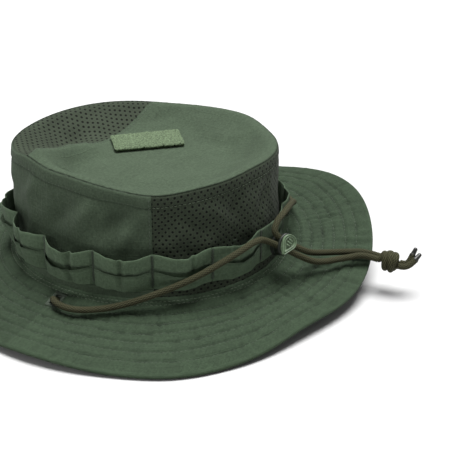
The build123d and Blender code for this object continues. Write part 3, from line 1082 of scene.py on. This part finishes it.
# ---- brim ------------------------------------------------------------
def brim_waves(angle, width):
    """How far all the brim's layers stand above their plain slope together."""
    share = width / brim_width
    free = smooth(0.05, 0.6, share)
    place = polar(0.09 + width, angle, 0.0)
    waves = 1.5 * MM * soft(place.x, place.y, 0.3, 42 * MM)
    return free * waves * smooth(-0.02, 0.18, 1.0 - share + 0.05)


def pucker_share(angle):
    """The brim is puckered all round, and most by the cord lock."""
    return 0.55 + 0.45 * bump(turn_between(angle, 125.0), 45.0)


def row_wander(place, number):
    """How far a stitch row strays from its width, and how tightly it is drawn in, about 0."""
    strays = 0.8 * MM * soft(place.x, place.y, number * 0.37, 16 * MM)
    return strays, soft(place.x, place.y, number * 0.21, 7 * MM)


def between_rows(place, width):
    """Irregular puckers over the whole brim, from -1 to 1."""
    return soft(place.x, place.y, width * 0.16, 3.1 * MM)


def brim_pinch(angle, width):
    """How far the stitch rows and the puckers between them sink into the brim's face."""
    place = polar(0.1, angle, 0.0)
    puckered = pucker_share(angle)
    depth = 0.0
    for number, row in enumerate(brim_rows + crown_rows):
        wander, drawn_in = row_wander(place, number)
        depth += (0.95 + 0.6 * drawn_in) * MM * bump(width - row - wander, 0.95 * MM)
        ripple = soft(place.x, place.y, number * 0.53, 2.3 * MM)
        depth += 0.9 * MM * puckered * ripple * bump(width - row, 3.0 * MM)
    past_crown = smooth(6 * MM, 14 * MM, width)
    return depth + 1.1 * MM * puckered * between_rows(place, width) * past_crown


def brim_place(angle, width, drop, pinch):
    """A point drop below the brim's upper face. pinch is 1 on the upper face, -1 on the lower."""
    share = width / brim_width
    inner = ellipse_radius(crown_base, angle)
    radius = inner + brim_reach(angle) * share
    height = seam_z + (edge_height(angle) - seam_z) * share
    height += around(angle, brim_curls) * smooth(0.3, 1.0, share)
    height += brim_waves(angle, min(width, brim_width)) - drop
    if pinch:
        height -= pinch * brim_pinch(angle, min(width, brim_width))
    return polar(radius, angle, height)


def slit_widths(x):
    """Widths along the brim at the two ends of the slit on that side."""
    angle = 0.0 if x > 0 else 180.0
    inner = ellipse_radius(crown_base, angle)
    return [brim_width * (end - inner) / brim_reach(angle) for end in slit_x]


def slit_angles(side):
    middle = 0.5 * (slit_x[0] + slit_x[1])
    return sorted(degrees(atan2(y, side * middle)) % 360.0 for y in slit_y)


left_widths, right_widths = slit_widths(1), slit_widths(-1)
left_angles, right_angles = slit_angles(1), slit_angles(-1)


def in_slit(angle, width):
    turned = angle % 360.0
    on_left = turned > left_angles[1] or turned < left_angles[0]
    on_right = right_angles[0] < turned < right_angles[1]
    through_left = on_left and left_widths[0] < width < left_widths[1]
    return through_left or (on_right and right_widths[0] < width < right_widths[1])


def brim_wear_and_shade(angle, width):
    """The brim is rubbed lighter along its edge, and has painted shade along its rows and in the troughs between
    puckers.
    """
    place = polar(0.1, angle, 0.0)
    wear_and_shade = 0.35 * bump(width - brim_width, 1.2 * MM)
    # Painted shade in the pinched grooves of the stitch rows.
    for number, row in enumerate(brim_rows + crown_rows):
        wander, drawn_in = row_wander(place, number)
        wear_and_shade -= max(0.34 + 0.55 * drawn_in, 0.0) * bump(width - row - wander, 0.9 * MM)
    # Painted shade in the troughs between puckers.
    shaded = max(between_rows(place, width), 0.0) * smooth(6 * MM, 14 * MM, width)
    return wear_and_shade - 0.55 * shaded * pucker_share(angle)


def brim_sheet(name, material, drop, pinch, thickness, rows, flip, edge):
    """One layer of the brim. edge lists the extra rings that turn its edge under."""
    marks = sorted(steps(0.0, 360.0, 900) + left_angles + right_angles)
    widths = sorted(rows + left_widths + right_widths)
    turned = {brim_width + out: down for out, down in edge}

    def place(angle, width):
        if width in turned:
            point = brim_place(angle, width, turned[width], 0)
        else:
            point = brim_place(angle, width, drop, pinch)
        return point, (radians(angle) * (0.095 + 0.8 * width), width)

    piece = surface(
        name,
        marks,
        widths + sorted(turned),
        place,
        material,
        closed=True,
        skip=in_slit,
        wear_and_painted_light=brim_wear_and_shade,
        flip=flip,
    )
    return thicken(piece, thickness)


brim_widths = steps(-0.5 * MM, brim_width - 0.6 * MM, 66)
# Rings that turn each ply's edge under: how far out, and how far below the brim's upper face.
upper_edge = [(0.0, 0.45 * MM), (0.55 * MM, 0.95 * MM), (0.75 * MM, 1.65 * MM)]
lower_edge = [(0.0, 2.9 * MM), (0.5 * MM, 2.4 * MM), (0.74 * MM, 1.75 * MM)]
brim_upper = brim_sheet(
    "brim_upper_cloth", ripstop_brim, brim_upper_drop, 1, cloth, brim_widths, True, upper_edge
)
brim_lower = brim_sheet(
    "brim_lower_cloth",
    ripstop_brim,
    brim_lower_drop,
    lower_pinch,
    cloth,
    brim_widths,
    False,
    lower_edge,
)
felt_widths = steps(-0.5 * MM, brim_width - 2.0 * MM, 30)
felt_drop = brim_middle_drop + 0.35 * MM
felt_thickness = 0.5 * MM
brim_felt = brim_sheet(
    "brim_stiffener", interlining_felt, felt_drop, 0, felt_thickness, felt_widths, True, []
)
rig.replaces(brim_upper, "brim_upper_ply")
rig.replaces(brim_lower, "brim_lower_ply")
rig.replaces(brim_felt, "brim_interlining")

# ---- foliage loops ---------------------------------------------------
band_middle = 0.5 * (band_low + band_high)
flap_height = 12.5  # millimetres, half the folded tape's height
# The folded tape's section: stand-off from its back and height, both in millimetres, and how
# much of the gape each place takes. The flaps meet at mid-height.
band_section = [
    (1.15, 0.35, 1.0),
    (1.25, 2.5, 0.75),
    (1.20, 6.0, 0.35),
    (1.10, 9.5, 0.08),
    (0.95, 11.7, 0.0),
    (0.50, 12.45, 0.0),
    (0.08, 11.7, 0.0),
    (0.0, 8.0, 0.0),
    (0.0, 0.0, 0.0),
    (0.0, -8.0, 0.0),
    (0.08, -11.7, 0.0),
    (0.50, -12.45, 0.0),
    (0.95, -11.7, 0.0),
    (1.10, -9.5, 0.08),
    (1.20, -6.0, 0.35),
    (1.25, -2.5, 0.75),
    (1.15, -0.15, 1.0),
]
band_folds = (4, 5, 11, 12)  # places in the section on the tape's two folds
# How far each loop's two flaps gape in its middle, in millimetres.
loop_gape = (1.2, 4.2, 2.6, 0.8, 2.0, 3.4, 2.4, 3.8, 2.0, 3.2, 2.2, 3.6, 1.6, 4.4)
# How deep a pleat the tape has near the middle of each loop, how far its top leans out there,
# and how far it sags, all in millimetres.
loop_folds = (3.4, 2.0, 1.4, 0.8, 1.8, 3.2, 1.4, 2.6, 1.2, 3.4, 1.4, 2.6, 1.8, 4.0)
loop_lean = (1.6, 0.3, 0.3, 0.0, 0.8, 2.2, 1.4, 2.4, 0.6, 2.0, 1.2, 2.4, 1.6, 2.2)
loop_sag = (1.6, 2.4, 1.8, 0.4, 1.2, 1.8, 0.8, 1.6, 1.0, 1.8, 1.2, 1.8, 0.9, 2.4)


def band_rise(angle):
    """(stand-off of the tape's back, place in its loop from 0 to 1, loop number)."""
    turned = ((angle - first_tack_angle) / loop_angle) % loop_count
    number = int(turned)
    share = turned - number
    rise = loop_rise[number] * MM
    full = sin(pi * share) ** 2 if 1 <= number <= 3 else 1.0 - abs(2.0 * share - 1.0) ** 2.4
    return tack_rise + (rise - tack_rise) * full, share, number


def fold_middle(number):
    """Where along its loop the pleat of that loop lies, from 0 to 1."""
    return 0.5 + 0.16 * sin(number * 2.1)


def band_place(angle, corner):
    """A point of the folded tape, by angle and by number in its section."""
    stand_off, share, number = band_rise(angle)
    out, height, gape = band_section[int(corner)]
    middle = sin(pi * share) ** 2
    quick = sin(pi * share) ** 0.8
    radius = ellipse_radius(low_band_axes, angle) + stand_off
    lean = loop_lean[number] * MM * middle * height / flap_height
    gaping = gape * loop_gape[number]
    opening = gaping * MM * quick * (0.15 if height > 0 else 0.9)
    height += gaping * middle * (0.15 if height > 0 else -0.30)
    place = radians(angle) * 0.1
    crumple = 1.3 * MM * middle * soft(place, height * 0.8 * MM, number * 0.3, 6 * MM)
    folded = loop_folds[number] * MM * bump(share - fold_middle(number), 0.04)
    folded *= 0.6 + 0.4 * height / flap_height
    sag = -loop_sag[number] * MM * middle * (0.75 + 0.25 * height / flap_height)
    rim_wave = 0.9 * MM * soft(place, 0.5, 0.0, 7 * MM)
    pulled = 0.5 * MM * bump(min(share, 1.0 - share), 0.03) * (out > 0.3)
    away = out * MM * 0.9 - pulled + opening + lean + crumple - folded
    if height < 0.0:
        sag *= 0.35
        height *= 1.16
    return polar(radius + away, angle, band_middle + height * MM + sag + rim_wave)


band_share = (band_low - seam_z) / (rim_z - seam_z)
low_band_axes = [low + (top - low) * band_share for low, top in zip(crown_base, crown_rim)]
section_place = [0.0]
for before, after in zip(band_section, band_section[1:]):
    run = hypot(after[0] - before[0], after[1] - before[1]) * MM
    section_place.append(section_place[-1] + run)


def band_grid(angle, corner):
    return band_place(angle, corner), (radians(angle) * band_unroll, section_place[int(corner)])


def band_wear_and_shade(angle, corner):
    """The tape is lighter along its two folds, partly wear and partly a painted highlight, and has painted shade at its
    tacks, pleats and flap edges.
    """
    _, share, number = band_rise(angle)
    # The folds are lighter, partly wear and partly a painted highlight.
    rubbed_and_highlit = 0.35 if int(corner) in band_folds else 0.0
    # Painted shade at the tacks, in the pleats and along the flap edges.
    dark = 0.8 * bump(min(share, 1.0 - share), 0.012)
    dark += 0.12 * loop_folds[number] * bump(share - fold_middle(number), 0.03)
    dark += 0.6 if int(corner) in (0, len(band_section) - 1) else 0.0
    return rubbed_and_highlit - min(dark, 1.0)


band_columns = [first_tack_angle + mark for mark in steps(0.0, 360.0, loop_count * 44)]
foliage_band = surface(
    "foliage_loop_tape",
    band_columns,
    list(range(len(band_section))),
    band_grid,
    ripstop_band,
    closed=True,
    wear_and_painted_light=band_wear_and_shade,
)
thicken(foliage_band, 0.42 * MM)
rounded = foliage_band.modifiers.new("rounded", "SUBSURF")
rounded.levels = 1
rounded.render_levels = 1
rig.replaces(foliage_band, "foliage_loop_band")


# ---- sweatband and cord anchors --------------------------------------
def lining_place(angle, z):
    below = 0.25 * MM * sin(radians(angle) * 60.0) * bump(z - sweatband_high, 5 * MM)
    inward = -1.9 * MM - 0.5 * MM * sin(pi * (z - sweatband_low) / (sweatband_high - sweatband_low))
    return polar(wall_radius(angle, z) + inward + below, angle, z), (radians(angle) * lining_unroll, z)


lining = surface(
    "sweatband_cloth",
    steps(0.0, 360.0, 480),
    steps(sweatband_low, sweatband_high, 24),
    lining_place,
    sweatband_cloth,
    closed=True,
    flip=True,
)
thicken(lining, 0.9 * MM, 1.0)
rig.replaces(lining, "sweatband")


def folded_tab(name, node):
    """A strip of tape folded in two round the end of a cord."""
    low, high = (Vector(corner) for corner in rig.box(node))
    middle = 0.5 * (low + high)
    half = 0.5 * (high - low)
    columns = steps(-1.0, 1.0, 12)
    rows = list(range(33))

    def place(across, step):
        turn = pi * (step / 16.0 - 1.0)
        bulge = 1.0 - 0.12 * across * across
        x = middle.x + half.x * 0.92 * bulge * sin(turn) * (abs(cos(turn)) ** 0.2)
        z = middle.z - half.z * 0.95 * cos(turn)
        return Vector((x, middle.y + half.y * across * 0.96, z)), (across * half.y, step * 0.6 * MM)

    return thicken(surface(name, columns, rows, place, sweatband_cloth), 0.3 * MM)


left_tab = folded_tab("cord_tab_left", "cord_anchor_left")
right_tab = folded_tab("cord_tab_right", "cord_anchor_right")
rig.replaces(left_tab, "cord_anchor_left")
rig.replaces(right_tab, "cord_anchor_right")


# ---- thread ----------------------------------------------------------
class Threadwork:
    """Stitches of one colour, joined into one mesh: each is a short raised tube of thread."""

    # Along the stitch, lift and size, the last two in thread radii.
    rings = (
        (-0.5, -0.55, 0.55),
        (-0.38, 0.15, 0.95),
        (0.0, 0.35, 1.0),
        (0.38, 0.15, 0.95),
        (0.5, -0.55, 0.55),
    )
    sides = 6
    filled = 0.72  # the share of each stitch's pitch that its thread covers

    def __init__(self, name, material):
        self.name = name
        self.material = material
        self.vertices = []
        self.faces = []

    def stitch(self, start, end, normal, radius):
        way = end - start
        length = way.length
        if length < 1e-7:
            return
        way = way / length
        side = way.cross(normal).normalized()
        up = side.cross(way)
        first = len(self.vertices)
        for along, lift, size in self.rings:
            centre = start + way * (length * (along + 0.5)) + up * (radius * lift)
            for turn in turns(self.sides):
                self.vertices.append(centre + on_ring(side, up, radius * size, turn))
        last = len(self.rings) - 1
        for i in range(last):
            for k in range(self.sides):
                a, b = first + i * self.sides, first + (i + 1) * self.sides
                after = (k + 1) % self.sides
                self.faces.append([a + k, a + after, b + after, b + k])
        self.faces.append([first + k for k in range(self.sides - 1, -1, -1)])
        self.faces.append([first + last * self.sides + k for k in range(self.sides)])

    def row(self, place, low, high, count, radius=0.24 * MM, lift=0.0):
        """count stitches along place(t), which gives a point and the surface's normal there."""
        for i in range(count):
            start = low + (high - low) * i / count
            end = start + (high - low) * self.filled / count
            a, normal = place(start)
            b, _ = place(end)
            self.stitch(a + normal * lift, b + normal * lift, normal, radius)

    def made(self):
        uvs = [(self.vertices[v].x, self.vertices[v].z) for face in self.faces for v in face]
        return mesh_piece(self.name, self.vertices, self.faces, self.material, uvs)


def around_wall(below_rim):
    def place(angle):
        return wall_place(angle, rim_z - below_rim), polar(1.0, angle, 0.0)

    return place


def up_wall(angle):
    def place(z):
        return wall_place(angle, z), polar(1.0, angle, 0.0)

    return place


def around_brim(width, drop, face):
    def place(angle):
        return brim_place(angle, width, drop, face), Vector((0, 0, 1 if face > 0 else -1))

    return place


def skip_slit_row(work, width, drop, face, count, radius):
    """A row of count stitches round the brim, left out where it would cross a slit."""
    place = around_brim(width, drop, face)
    margin = 0.7
    for i in range(count):
        angle = 360.0 * i / count
        if not any(in_slit(angle + aside, width) for aside in (0.0, margin, -margin)):
            work.row(place, angle, angle + 360.0 / count, 1, radius)


crown_thread = Threadwork("crown_topstitching", thread)
crown_row_stitches = 176
crown_thread.row(around_wall(allowance), 0.0, 360.0, crown_row_stitches)
crown_stitches = crown_thread.made()


def along_top_seam(x):
    y = top_seam_line(x) + 2.0 * MM
    return Vector((x, y, top_height(x, y))), Vector((0, 0, 1))


def inside_rim(x):
    return hypot(x, top_seam_y) < rim_radius(degrees(atan2(top_seam_y, x))) - 3 * MM


seam_ends = [x for x in steps(-0.09, 0.09, 180) if inside_rim(x)]
fine_thread = 0.2 * MM
panel_thread = Threadwork("panel_seam_stitching", dark_thread)
top_seam_stitches = 46
side_seam_stitches = 24
off_seam_angle = 1.2
panel_thread.row(along_top_seam, seam_ends[0], seam_ends[-1], top_seam_stitches, fine_thread)
for angle in (cloth_edge[0] - off_seam_angle, cloth_edge[1] + off_seam_angle):
    low, high = seam_z + 2 * MM, rim_z - 2 * MM
    panel_thread.row(up_wall(angle), low, high, side_seam_stitches, fine_thread)
panel_stitches = panel_thread.made()

crown_radius = 0.094  # the oval's mean radius at the brim
brim_stitch_pitch = 3.0 * MM
brim_thread = Threadwork("brim_stitching", dark_thread)
for width in brim_rows:
    count = int(2 * pi * (crown_radius + width) / brim_stitch_pitch)
    skip_slit_row(brim_thread, width, brim_upper_drop, 1, count, fine_thread)
    skip_slit_row(brim_thread, width, brim_lower_drop, lower_pinch, count, fine_thread)
brim_stitches = brim_thread.made()

seam_thread = Threadwork("brim_seam_topstitching", thread)
seam_row_stitches = 196
for width in crown_rows:
    for drop, face in ((brim_upper_drop, 1), (brim_lower_drop, lower_pinch)):
        seam_thread.row(around_brim(width, drop, face), 0.0, 360.0, seam_row_stitches)
seam_stitches = seam_thread.made()

tack_thread = Threadwork("loop_tack_stitches", dark_thread)
tack_half = 1.0 * MM
tack_passes = 34
tack_stand_off = tack_rise + 1.25 * MM
for number in range(loop_count):
    angle = first_tack_angle + number * loop_angle
    radius = ellipse_radius(low_band_axes, angle) + tack_stand_off
    for i in range(tack_passes):
        z = band_middle + (i / (tack_passes - 1) - 0.5) * (band_high - band_low - 2 * MM)
        away = degrees(tack_half / radius)
        start = polar(radius, angle - away, z)
        end = polar(radius, angle + away, z + 0.35 * MM)
        tack_thread.stitch(start, end, polar(1.0, angle, 0.0), 0.22 * MM)
tack_stitches = tack_thread.made()
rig.replaces(tack_stitches, "loop_bar_tacks")


def slit_threads(name, node, side):
    """Close satin stitches all round a slit, each square to the slit's edge."""
    work = Threadwork(name, dark_thread)
    low, high = slit_y
    out = 1.9 * MM
    inside = 0.25 * MM
    radius = 0.27 * MM

    def at(x, y):
        angle = degrees(atan2(y, side * x))
        width = brim_width * (hypot(x, y) - ellipse_radius(crown_base, angle)) / brim_reach(angle)
        return brim_place(angle, width, brim_upper_drop - 0.25 * MM, 1)

    up = Vector((0, 0, 1))
    long_count = 30
    for i in range(long_count):
        x = slit_x[0] + (slit_x[1] - slit_x[0]) * (i + 0.5) / long_count
        work.stitch(at(x, low + inside), at(x, low - out), up, radius)
        work.stitch(at(x, high - inside), at(x, high + out), up, radius)
    short_count = 18
    for i in range(short_count):
        y = low - out + (high - low + 2 * out) * (i + 0.5) / short_count
        work.stitch(at(slit_x[0] + inside, y), at(slit_x[0] - out, y), up, radius)
        work.stitch(at(slit_x[1] - inside, y), at(slit_x[1] + out, y), up, radius)
    made = work.made()
    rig.replaces(made, node)
    return made


left_slit = slit_threads("slit_satin_left", "slit_stitching_left", 1)
right_slit = slit_threads("slit_satin_right", "slit_stitching_right", -1)

# ---- loop patch ------------------------------------------------------
patch_along = polar(1.0, 138.5, 0.0)
patch_across = polar(1.0, 228.5, 0.0)
patch_half = (24.8 * MM, 12.3 * MM)


def patch_place(across, along):
    """A point of the patch's face. across and along go from -1 to 1."""
    flat = patch_centre + patch_along * (patch_half[0] * along) + patch_across * (patch_half[1] * across)
    edge = min(1.0 - abs(along), (1.0 - abs(across)) * patch_half[1] / patch_half[0])
    swell = smooth(0.0, 0.06, edge)
    ground = max(top_height(flat.x, flat.y), patch_low - 0.4 * MM)
    rough = 0.7 * MM * soft(flat.x, flat.y, 0.0, 1.9 * MM) * swell
    sewn = -0.35 * MM * bump(edge - 0.10, 0.035)
    height = ground + (0.15 + 0.95 * swell) * MM + rough + sewn
    return Vector((flat.x, flat.y, height)), (flat.x, flat.y)


patch_base = surface("patch_backing", steps(-1.0, 1.0, 60), steps(-1.0, 1.0, 120), patch_place, pile)
thicken(patch_base, 2.2 * MM)
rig.replaces(patch_base, "loop_patch")


class PileLoops(Threadwork):
    """Fine upright loops of the patch's pile, in many directions."""

    rings = ((-0.55, 0.0, 1.0), (0.55, 0.0, 1.0))
    sides = 3
    reach = 0.6 * MM
    radius = 0.13 * MM

    def loop(self, foot, way, height):
        up = Vector((0, 0, 1))
        arc = []
        for i in range(6):
            turn = pi * i / 5
            arc.append(foot + way * (-self.reach * cos(turn)) + up * (height * sin(turn)))
        for a, b in zip(arc, arc[1:]):
            self.stitch(a, b, way.cross(up), self.radius)


pile_work = PileLoops("patch_pile", pile)
pile_rows, pile_columns = 26, 54
pile_root = Vector((0, 0, 0.15 * MM))  # how far each loop's feet lie below the patch's face
for i in range(pile_rows):
    for j in range(pile_columns):
        across = -0.93 + 1.86 * (i + 0.5) / pile_rows
        along = -0.97 + 1.94 * (j + 0.5) / pile_columns
        across += 0.035 * soft(i, j, 0.3, 1.7)
        along += 0.020 * soft(i, j, 1.3, 1.7)
        foot, _ = patch_place(across, along)
        heading = 360.0 * soft(i * 1.3, j * 0.9, 2.0, 1.9)
        height = (0.75 + 0.7 * soft(i, j, 5.0, 1.5)) * MM
        pile_work.loop(foot - pile_root, polar(1.0, heading, 0.0), height)
patch_pile = pile_work.made()

patch_thread = Threadwork("patch_stitching", thread)
patch_row_inset = 1.4 * MM
patch_row_pitch = 2.6 * MM


def patch_side(first, last):
    """Places from 0 to 1 along one side of the patch's row of stitching."""
    inset = (1.0 - patch_row_inset / patch_half[1], 1.0 - patch_row_inset / patch_half[0])

    def place(t):
        across = (first[0] + (last[0] - first[0]) * t) * inset[0]
        along = (first[1] + (last[1] - first[1]) * t) * inset[1]
        return patch_place(across, along)[0], Vector((0, 0, 1))

    return place


patch_corners = [(-1, -1), (1, -1), (1, 1), (-1, 1), (-1, -1)]
for first, last in zip(patch_corners, patch_corners[1:]):
    length = abs(last[0] - first[0]) * patch_half[1] + abs(last[1] - first[1]) * patch_half[0]
    patch_thread.row(patch_side(first, last), 0.0, 1.0, int(length / patch_row_pitch), lift=0.1 * MM)
patch_stitches = patch_thread.made()

# ---- cord lock -------------------------------------------------------
# The lock's own places, in millimetres: x along the cords, y across both of them, and depth
# behind the face. The cap is turned a little against the barrel.
face_turn = radians(-9.5)


def lock_place(x, y, depth):
    return lock_face + (lock_along * x + lock_across * y - lock_out * depth) * MM


def cap_place(x, y, depth):
    turned_x = x * cos(face_turn) - y * sin(face_turn)
    turned_y = x * sin(face_turn) + y * cos(face_turn)
    return lock_place(turned_x, turned_y, depth)


def oval(half_x, half_y, depth):
    return [lock_place(half_x * cos(turn), half_y * sin(turn), depth) for turn in turns(64)]


def drop_outline(inset, depth):
    """The cap's outline, inset all round: a big arc joined by straight sides to a small one."""
    big, big_y = 5.4 - inset, 1.5
    small = max(1.1 - 0.5 * inset, 0.2)
    small_y = -7.4 + 0.85 * inset
    lean = (big - small) / (big_y - small_y)
    tilt = -atan2(lean, sqrt(1.0 - lean * lean))
    turns_big = steps(tilt, pi - tilt, 43)
    turns_small = steps(pi - tilt, 2 * pi + tilt, 19)
    corners = [(big * cos(t), big_y + big * sin(t)) for t in turns_big]
    corners += [(small * cos(t), small_y + small * sin(t)) for t in turns_small]
    return [cap_place(x, y, depth) for x, y in corners]


def cut(piece, cutter):
    """Takes the cutter's volume away from the piece."""
    modifier = piece.modifiers.new("cut", "BOOLEAN")
    modifier.operation = "DIFFERENCE"
    modifier.solver = "EXACT"
    modifier.object = cutter
    result = bpy.data.meshes.new_from_object(
        piece.evaluated_get(bpy.context.evaluated_depsgraph_get())
    )
    piece.modifiers.clear()
    piece.data = result
    bpy.data.objects.remove(cutter)


def slot_cutter(near, far):
    """The straight passage for the two cords, between two depths."""
    cord_y = 2.6  # each cord's middle, across the lock
    ends = []
    for x in (-14.0, 14.0):
        corners = []
        for turn in turns(32):
            y = cord_y * (1 if cos(turn) > 0 else -1) + (5.05 - cord_y) * cos(turn)
            depth = 0.5 * (near + far) + 0.5 * (far - near) * sin(turn)
            corners.append(lock_place(x, y, depth))
        ends.append(corners)
    return stack("cutter", ends, lock_body_plastic)


# The cap from its back round to the middle of its face: inset and depth. Its face has two
# raised rims with a groove between them.
cap_profile = [(1.0, 2.4), (0.25, 2.3), (0.0, 1.9), (0.0, 0.35), (0.1, 0.0)]
cap_profile += [(0.25, -0.25), (0.45, -0.25), (0.6, 0.1), (0.7, 1.4), (1.3, 1.4), (1.4, 0.1)]
cap_profile += [(1.55, -0.2), (1.8, -0.2), (1.95, 0.3), (2.05, 1.5), (3.0, 1.5)]
cap_outlines = [drop_outline(inset, depth) for inset, depth in cap_profile]
cap = stack("lock_button_cap", cap_outlines, lock_button_plastic)
# Three plain ribs on the cap: place across it and half length. Then a rib's rings: place
# along it, as a share of its half length, and size.
cap_ribs = [(-0.9, 1.5), (1.1, 2.2), (3.1, 1.8)]
rib_rings = [(-1.0, 0.05), (-0.96, 0.6), (-0.85, 1.0), (0.85, 1.0), (0.96, 0.6), (1.0, 0.05)]
rib_work = []
for number, (middle, length) in enumerate(cap_ribs):
    rings = []
    for along, size in rib_rings:
        ring = []
        for turn in turns(16):
            x = length * along
            y = middle + 0.55 * size * cos(turn)
            ring.append(cap_place(x, y, 0.8 - 1.0 * size * sin(turn)))
        rings.append(ring)
    rib_work.append(stack(f"lock_button_rib_{number + 1}", rings, lock_button_plastic))

stem_outlines = [oval(3.4, 6.5, 2.3), oval(3.4, 6.5, 11.2), oval(3.0, 6.1, 11.6)]
stem = stack("lock_button_stem", stem_outlines, lock_button_plastic)
passage_floor = 10.35
cut(stem, slot_cutter(3.6, passage_floor))
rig.replaces(cap, "cord_lock_plunger")

# The barrel from its foot up: half axes and depth of each oval, with three grooves round it.
barrel_half = (5.25, 7.95)
groove_half = (4.8, 7.5)
barrel_rings = [oval(4.3, 7.0, 17.0), oval(5.0, 7.7, 16.7), oval(*barrel_half, 16.2)]
for groove in (15.2, 13.9, 12.6):
    barrel_rings.append(oval(*barrel_half, groove + 0.45))
    barrel_rings.append(oval(*groove_half, groove + 0.25))
    barrel_rings.append(oval(*groove_half, groove - 0.15))
    barrel_rings.append(oval(*barrel_half, groove - 0.35))
barrel_rings += [oval(5.3, 8.0, 11.2), oval(5.3, 8.0, 5.2)]
barrel_rings += [oval(5.0, 7.7, 4.75), oval(4.4, 7.1, 4.6)]
barrel = stack("lock_barrel_body", barrel_rings, lock_body_plastic)
bore = [oval(3.6, 6.7, 15.6), oval(3.6, 6.7, 2.0)]
cut(barrel, stack("cutter", bore, lock_body_plastic))
cut(barrel, slot_cutter(5.45, passage_floor))
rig.replaces(barrel, "cord_lock_barrel")

coil_route = []
coil_steps = 80  # 16 for each of its five turns
coil_radius = 2.35
coil_top = 11.95
coil_length = 3.2
for i in range(coil_steps + 1):
    turn = 2 * pi * i / 16
    depth = coil_top + coil_length * i / coil_steps
    coil_route.append(lock_place(coil_radius * cos(turn), coil_radius * sin(turn), depth))
coil = braided_tube("lock_coil_spring", [coil_route], spring_wire, 0.25 * MM, 12, 0, 1.0)
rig.replaces(coil, "cord_lock_spring")

# ---- bodies and material slots ---------------------------------------
hat_pieces = [
    *(wall_cloth, wall_mesh, top_cloth, top_mesh),
    *(brim_upper, brim_lower, brim_felt, foliage_band),
    *(lining, left_tab, right_tab),
    *(crown_stitches, panel_stitches, brim_stitches, seam_stitches, tack_stitches),
    *(left_slit, right_slit, patch_base, patch_pile, patch_stitches),
]
for piece in hat_pieces:
    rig.ride(piece, "hat")
for piece in (barrel, coil):
    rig.ride(piece, "cord_lock")
for piece in (cap, stem, *rib_work):
    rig.ride(piece, "lock_plunger")
coil_foot = tuple(lock_place(0, 0, 15.4))
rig.squash(coil, "cord_lock_press", axis=tuple(lock_out), anchor=coil_foot, keep=0.45)

slots = {
    "ripstop_crown": [wall_cloth, top_cloth],
    "ripstop_brim": [brim_upper, brim_lower],
    "ripstop_band": [foliage_band],
    "mesh": [wall_mesh, top_mesh],
    "sweatband": [lining, left_tab, right_tab],
    "interlining": [brim_felt],
    "loop_pile": [patch_base, patch_pile],
    "thread": [
        *(crown_stitches, panel_stitches, brim_stitches, seam_stitches),
        *(tack_stitches, left_slit, right_slit, patch_stitches),
    ],
    "cord": [left_cord, right_cord, knot, *tails],
    "cord_tip": tips,
    "lock_body": [barrel],
    "lock_button": [cap, stem, *rib_work],
    "spring_steel": [coil],
}
for slot, owners in slots.items():
    for piece in owners:
        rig.slot(piece, slot)

# ---- floor and light -------------------------------------------------
# The floor is a mid grey under a strong overhead light, so that it renders as pale as the
# photograph's background without throwing too much light up at the crown.
floor_mesh = bpy.data.meshes.new("floor")
reach = 6.0
floor_z = -0.4 * MM
corners = [(-reach, -reach), (reach, -reach), (reach, reach), (-reach, reach)]
floor_mesh.from_pydata([(x, y, floor_z) for x, y in corners], [], [(0, 1, 2, 3)])
floor_finish = Finish("floor", 0.9, specular=0.1)
floor_tone = floor_finish.noise(0.6, 2.0)
floor_colour = floor_finish.blend(floor_tone, (0.54, 0.54, 0.54), (0.56, 0.56, 0.56))
floor_mesh.materials.append(floor_finish.finish(floor_colour))
floor = bpy.data.objects.new("floor", floor_mesh)
bpy.context.scene.collection.objects.link(floor)
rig.stage(floor)


def lamp(name, data, place, way):
    """A light at place that shines along way."""
    made = bpy.data.objects.new(name, data)
    made.location = place
    made.rotation_euler = Vector(way).to_track_quat("-Z", "Y").to_euler()
    bpy.context.scene.collection.objects.link(made)


middle_of_hat = Vector((0.0, 0.0, 0.05))
fill_place = Vector((1.35, -0.45, 0.75))
fill_data = bpy.data.lights.new("fill", "AREA")
fill_data.shape = "DISK"
fill_data.size = 0.7
fill_data.energy = 3.4
lamp("fill", fill_data, fill_place, middle_of_hat - fill_place)

# One large overhead source, so far off that it lights the floor evenly.
overhead_data = bpy.data.lights.new("overhead", "SUN")
overhead_data.energy = 6.0
overhead_data.angle = radians(42.0)
lamp("overhead", overhead_data, (0.0, 0.0, 0.0), (0.20, 0.06, -1.0))

world = bpy.data.worlds.new("studio")
world.use_nodes = True
background = world.node_tree.nodes["Background"]
background.inputs["Color"].default_value = (1.0, 1.0, 1.0, 1.0)
background.inputs["Strength"].default_value = 0.22
bpy.context.scene.world = world
bpy.context.scene.view_settings.view_transform = "Standard"

visual_low, visual_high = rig.bounds()
sizes = {
    "cad": [list(cad_low), list(cad_high)],
    "visual": [list(visual_low), list(visual_high)],
}
with open("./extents.json", "w") as out:
    json.dump(sizes, out)
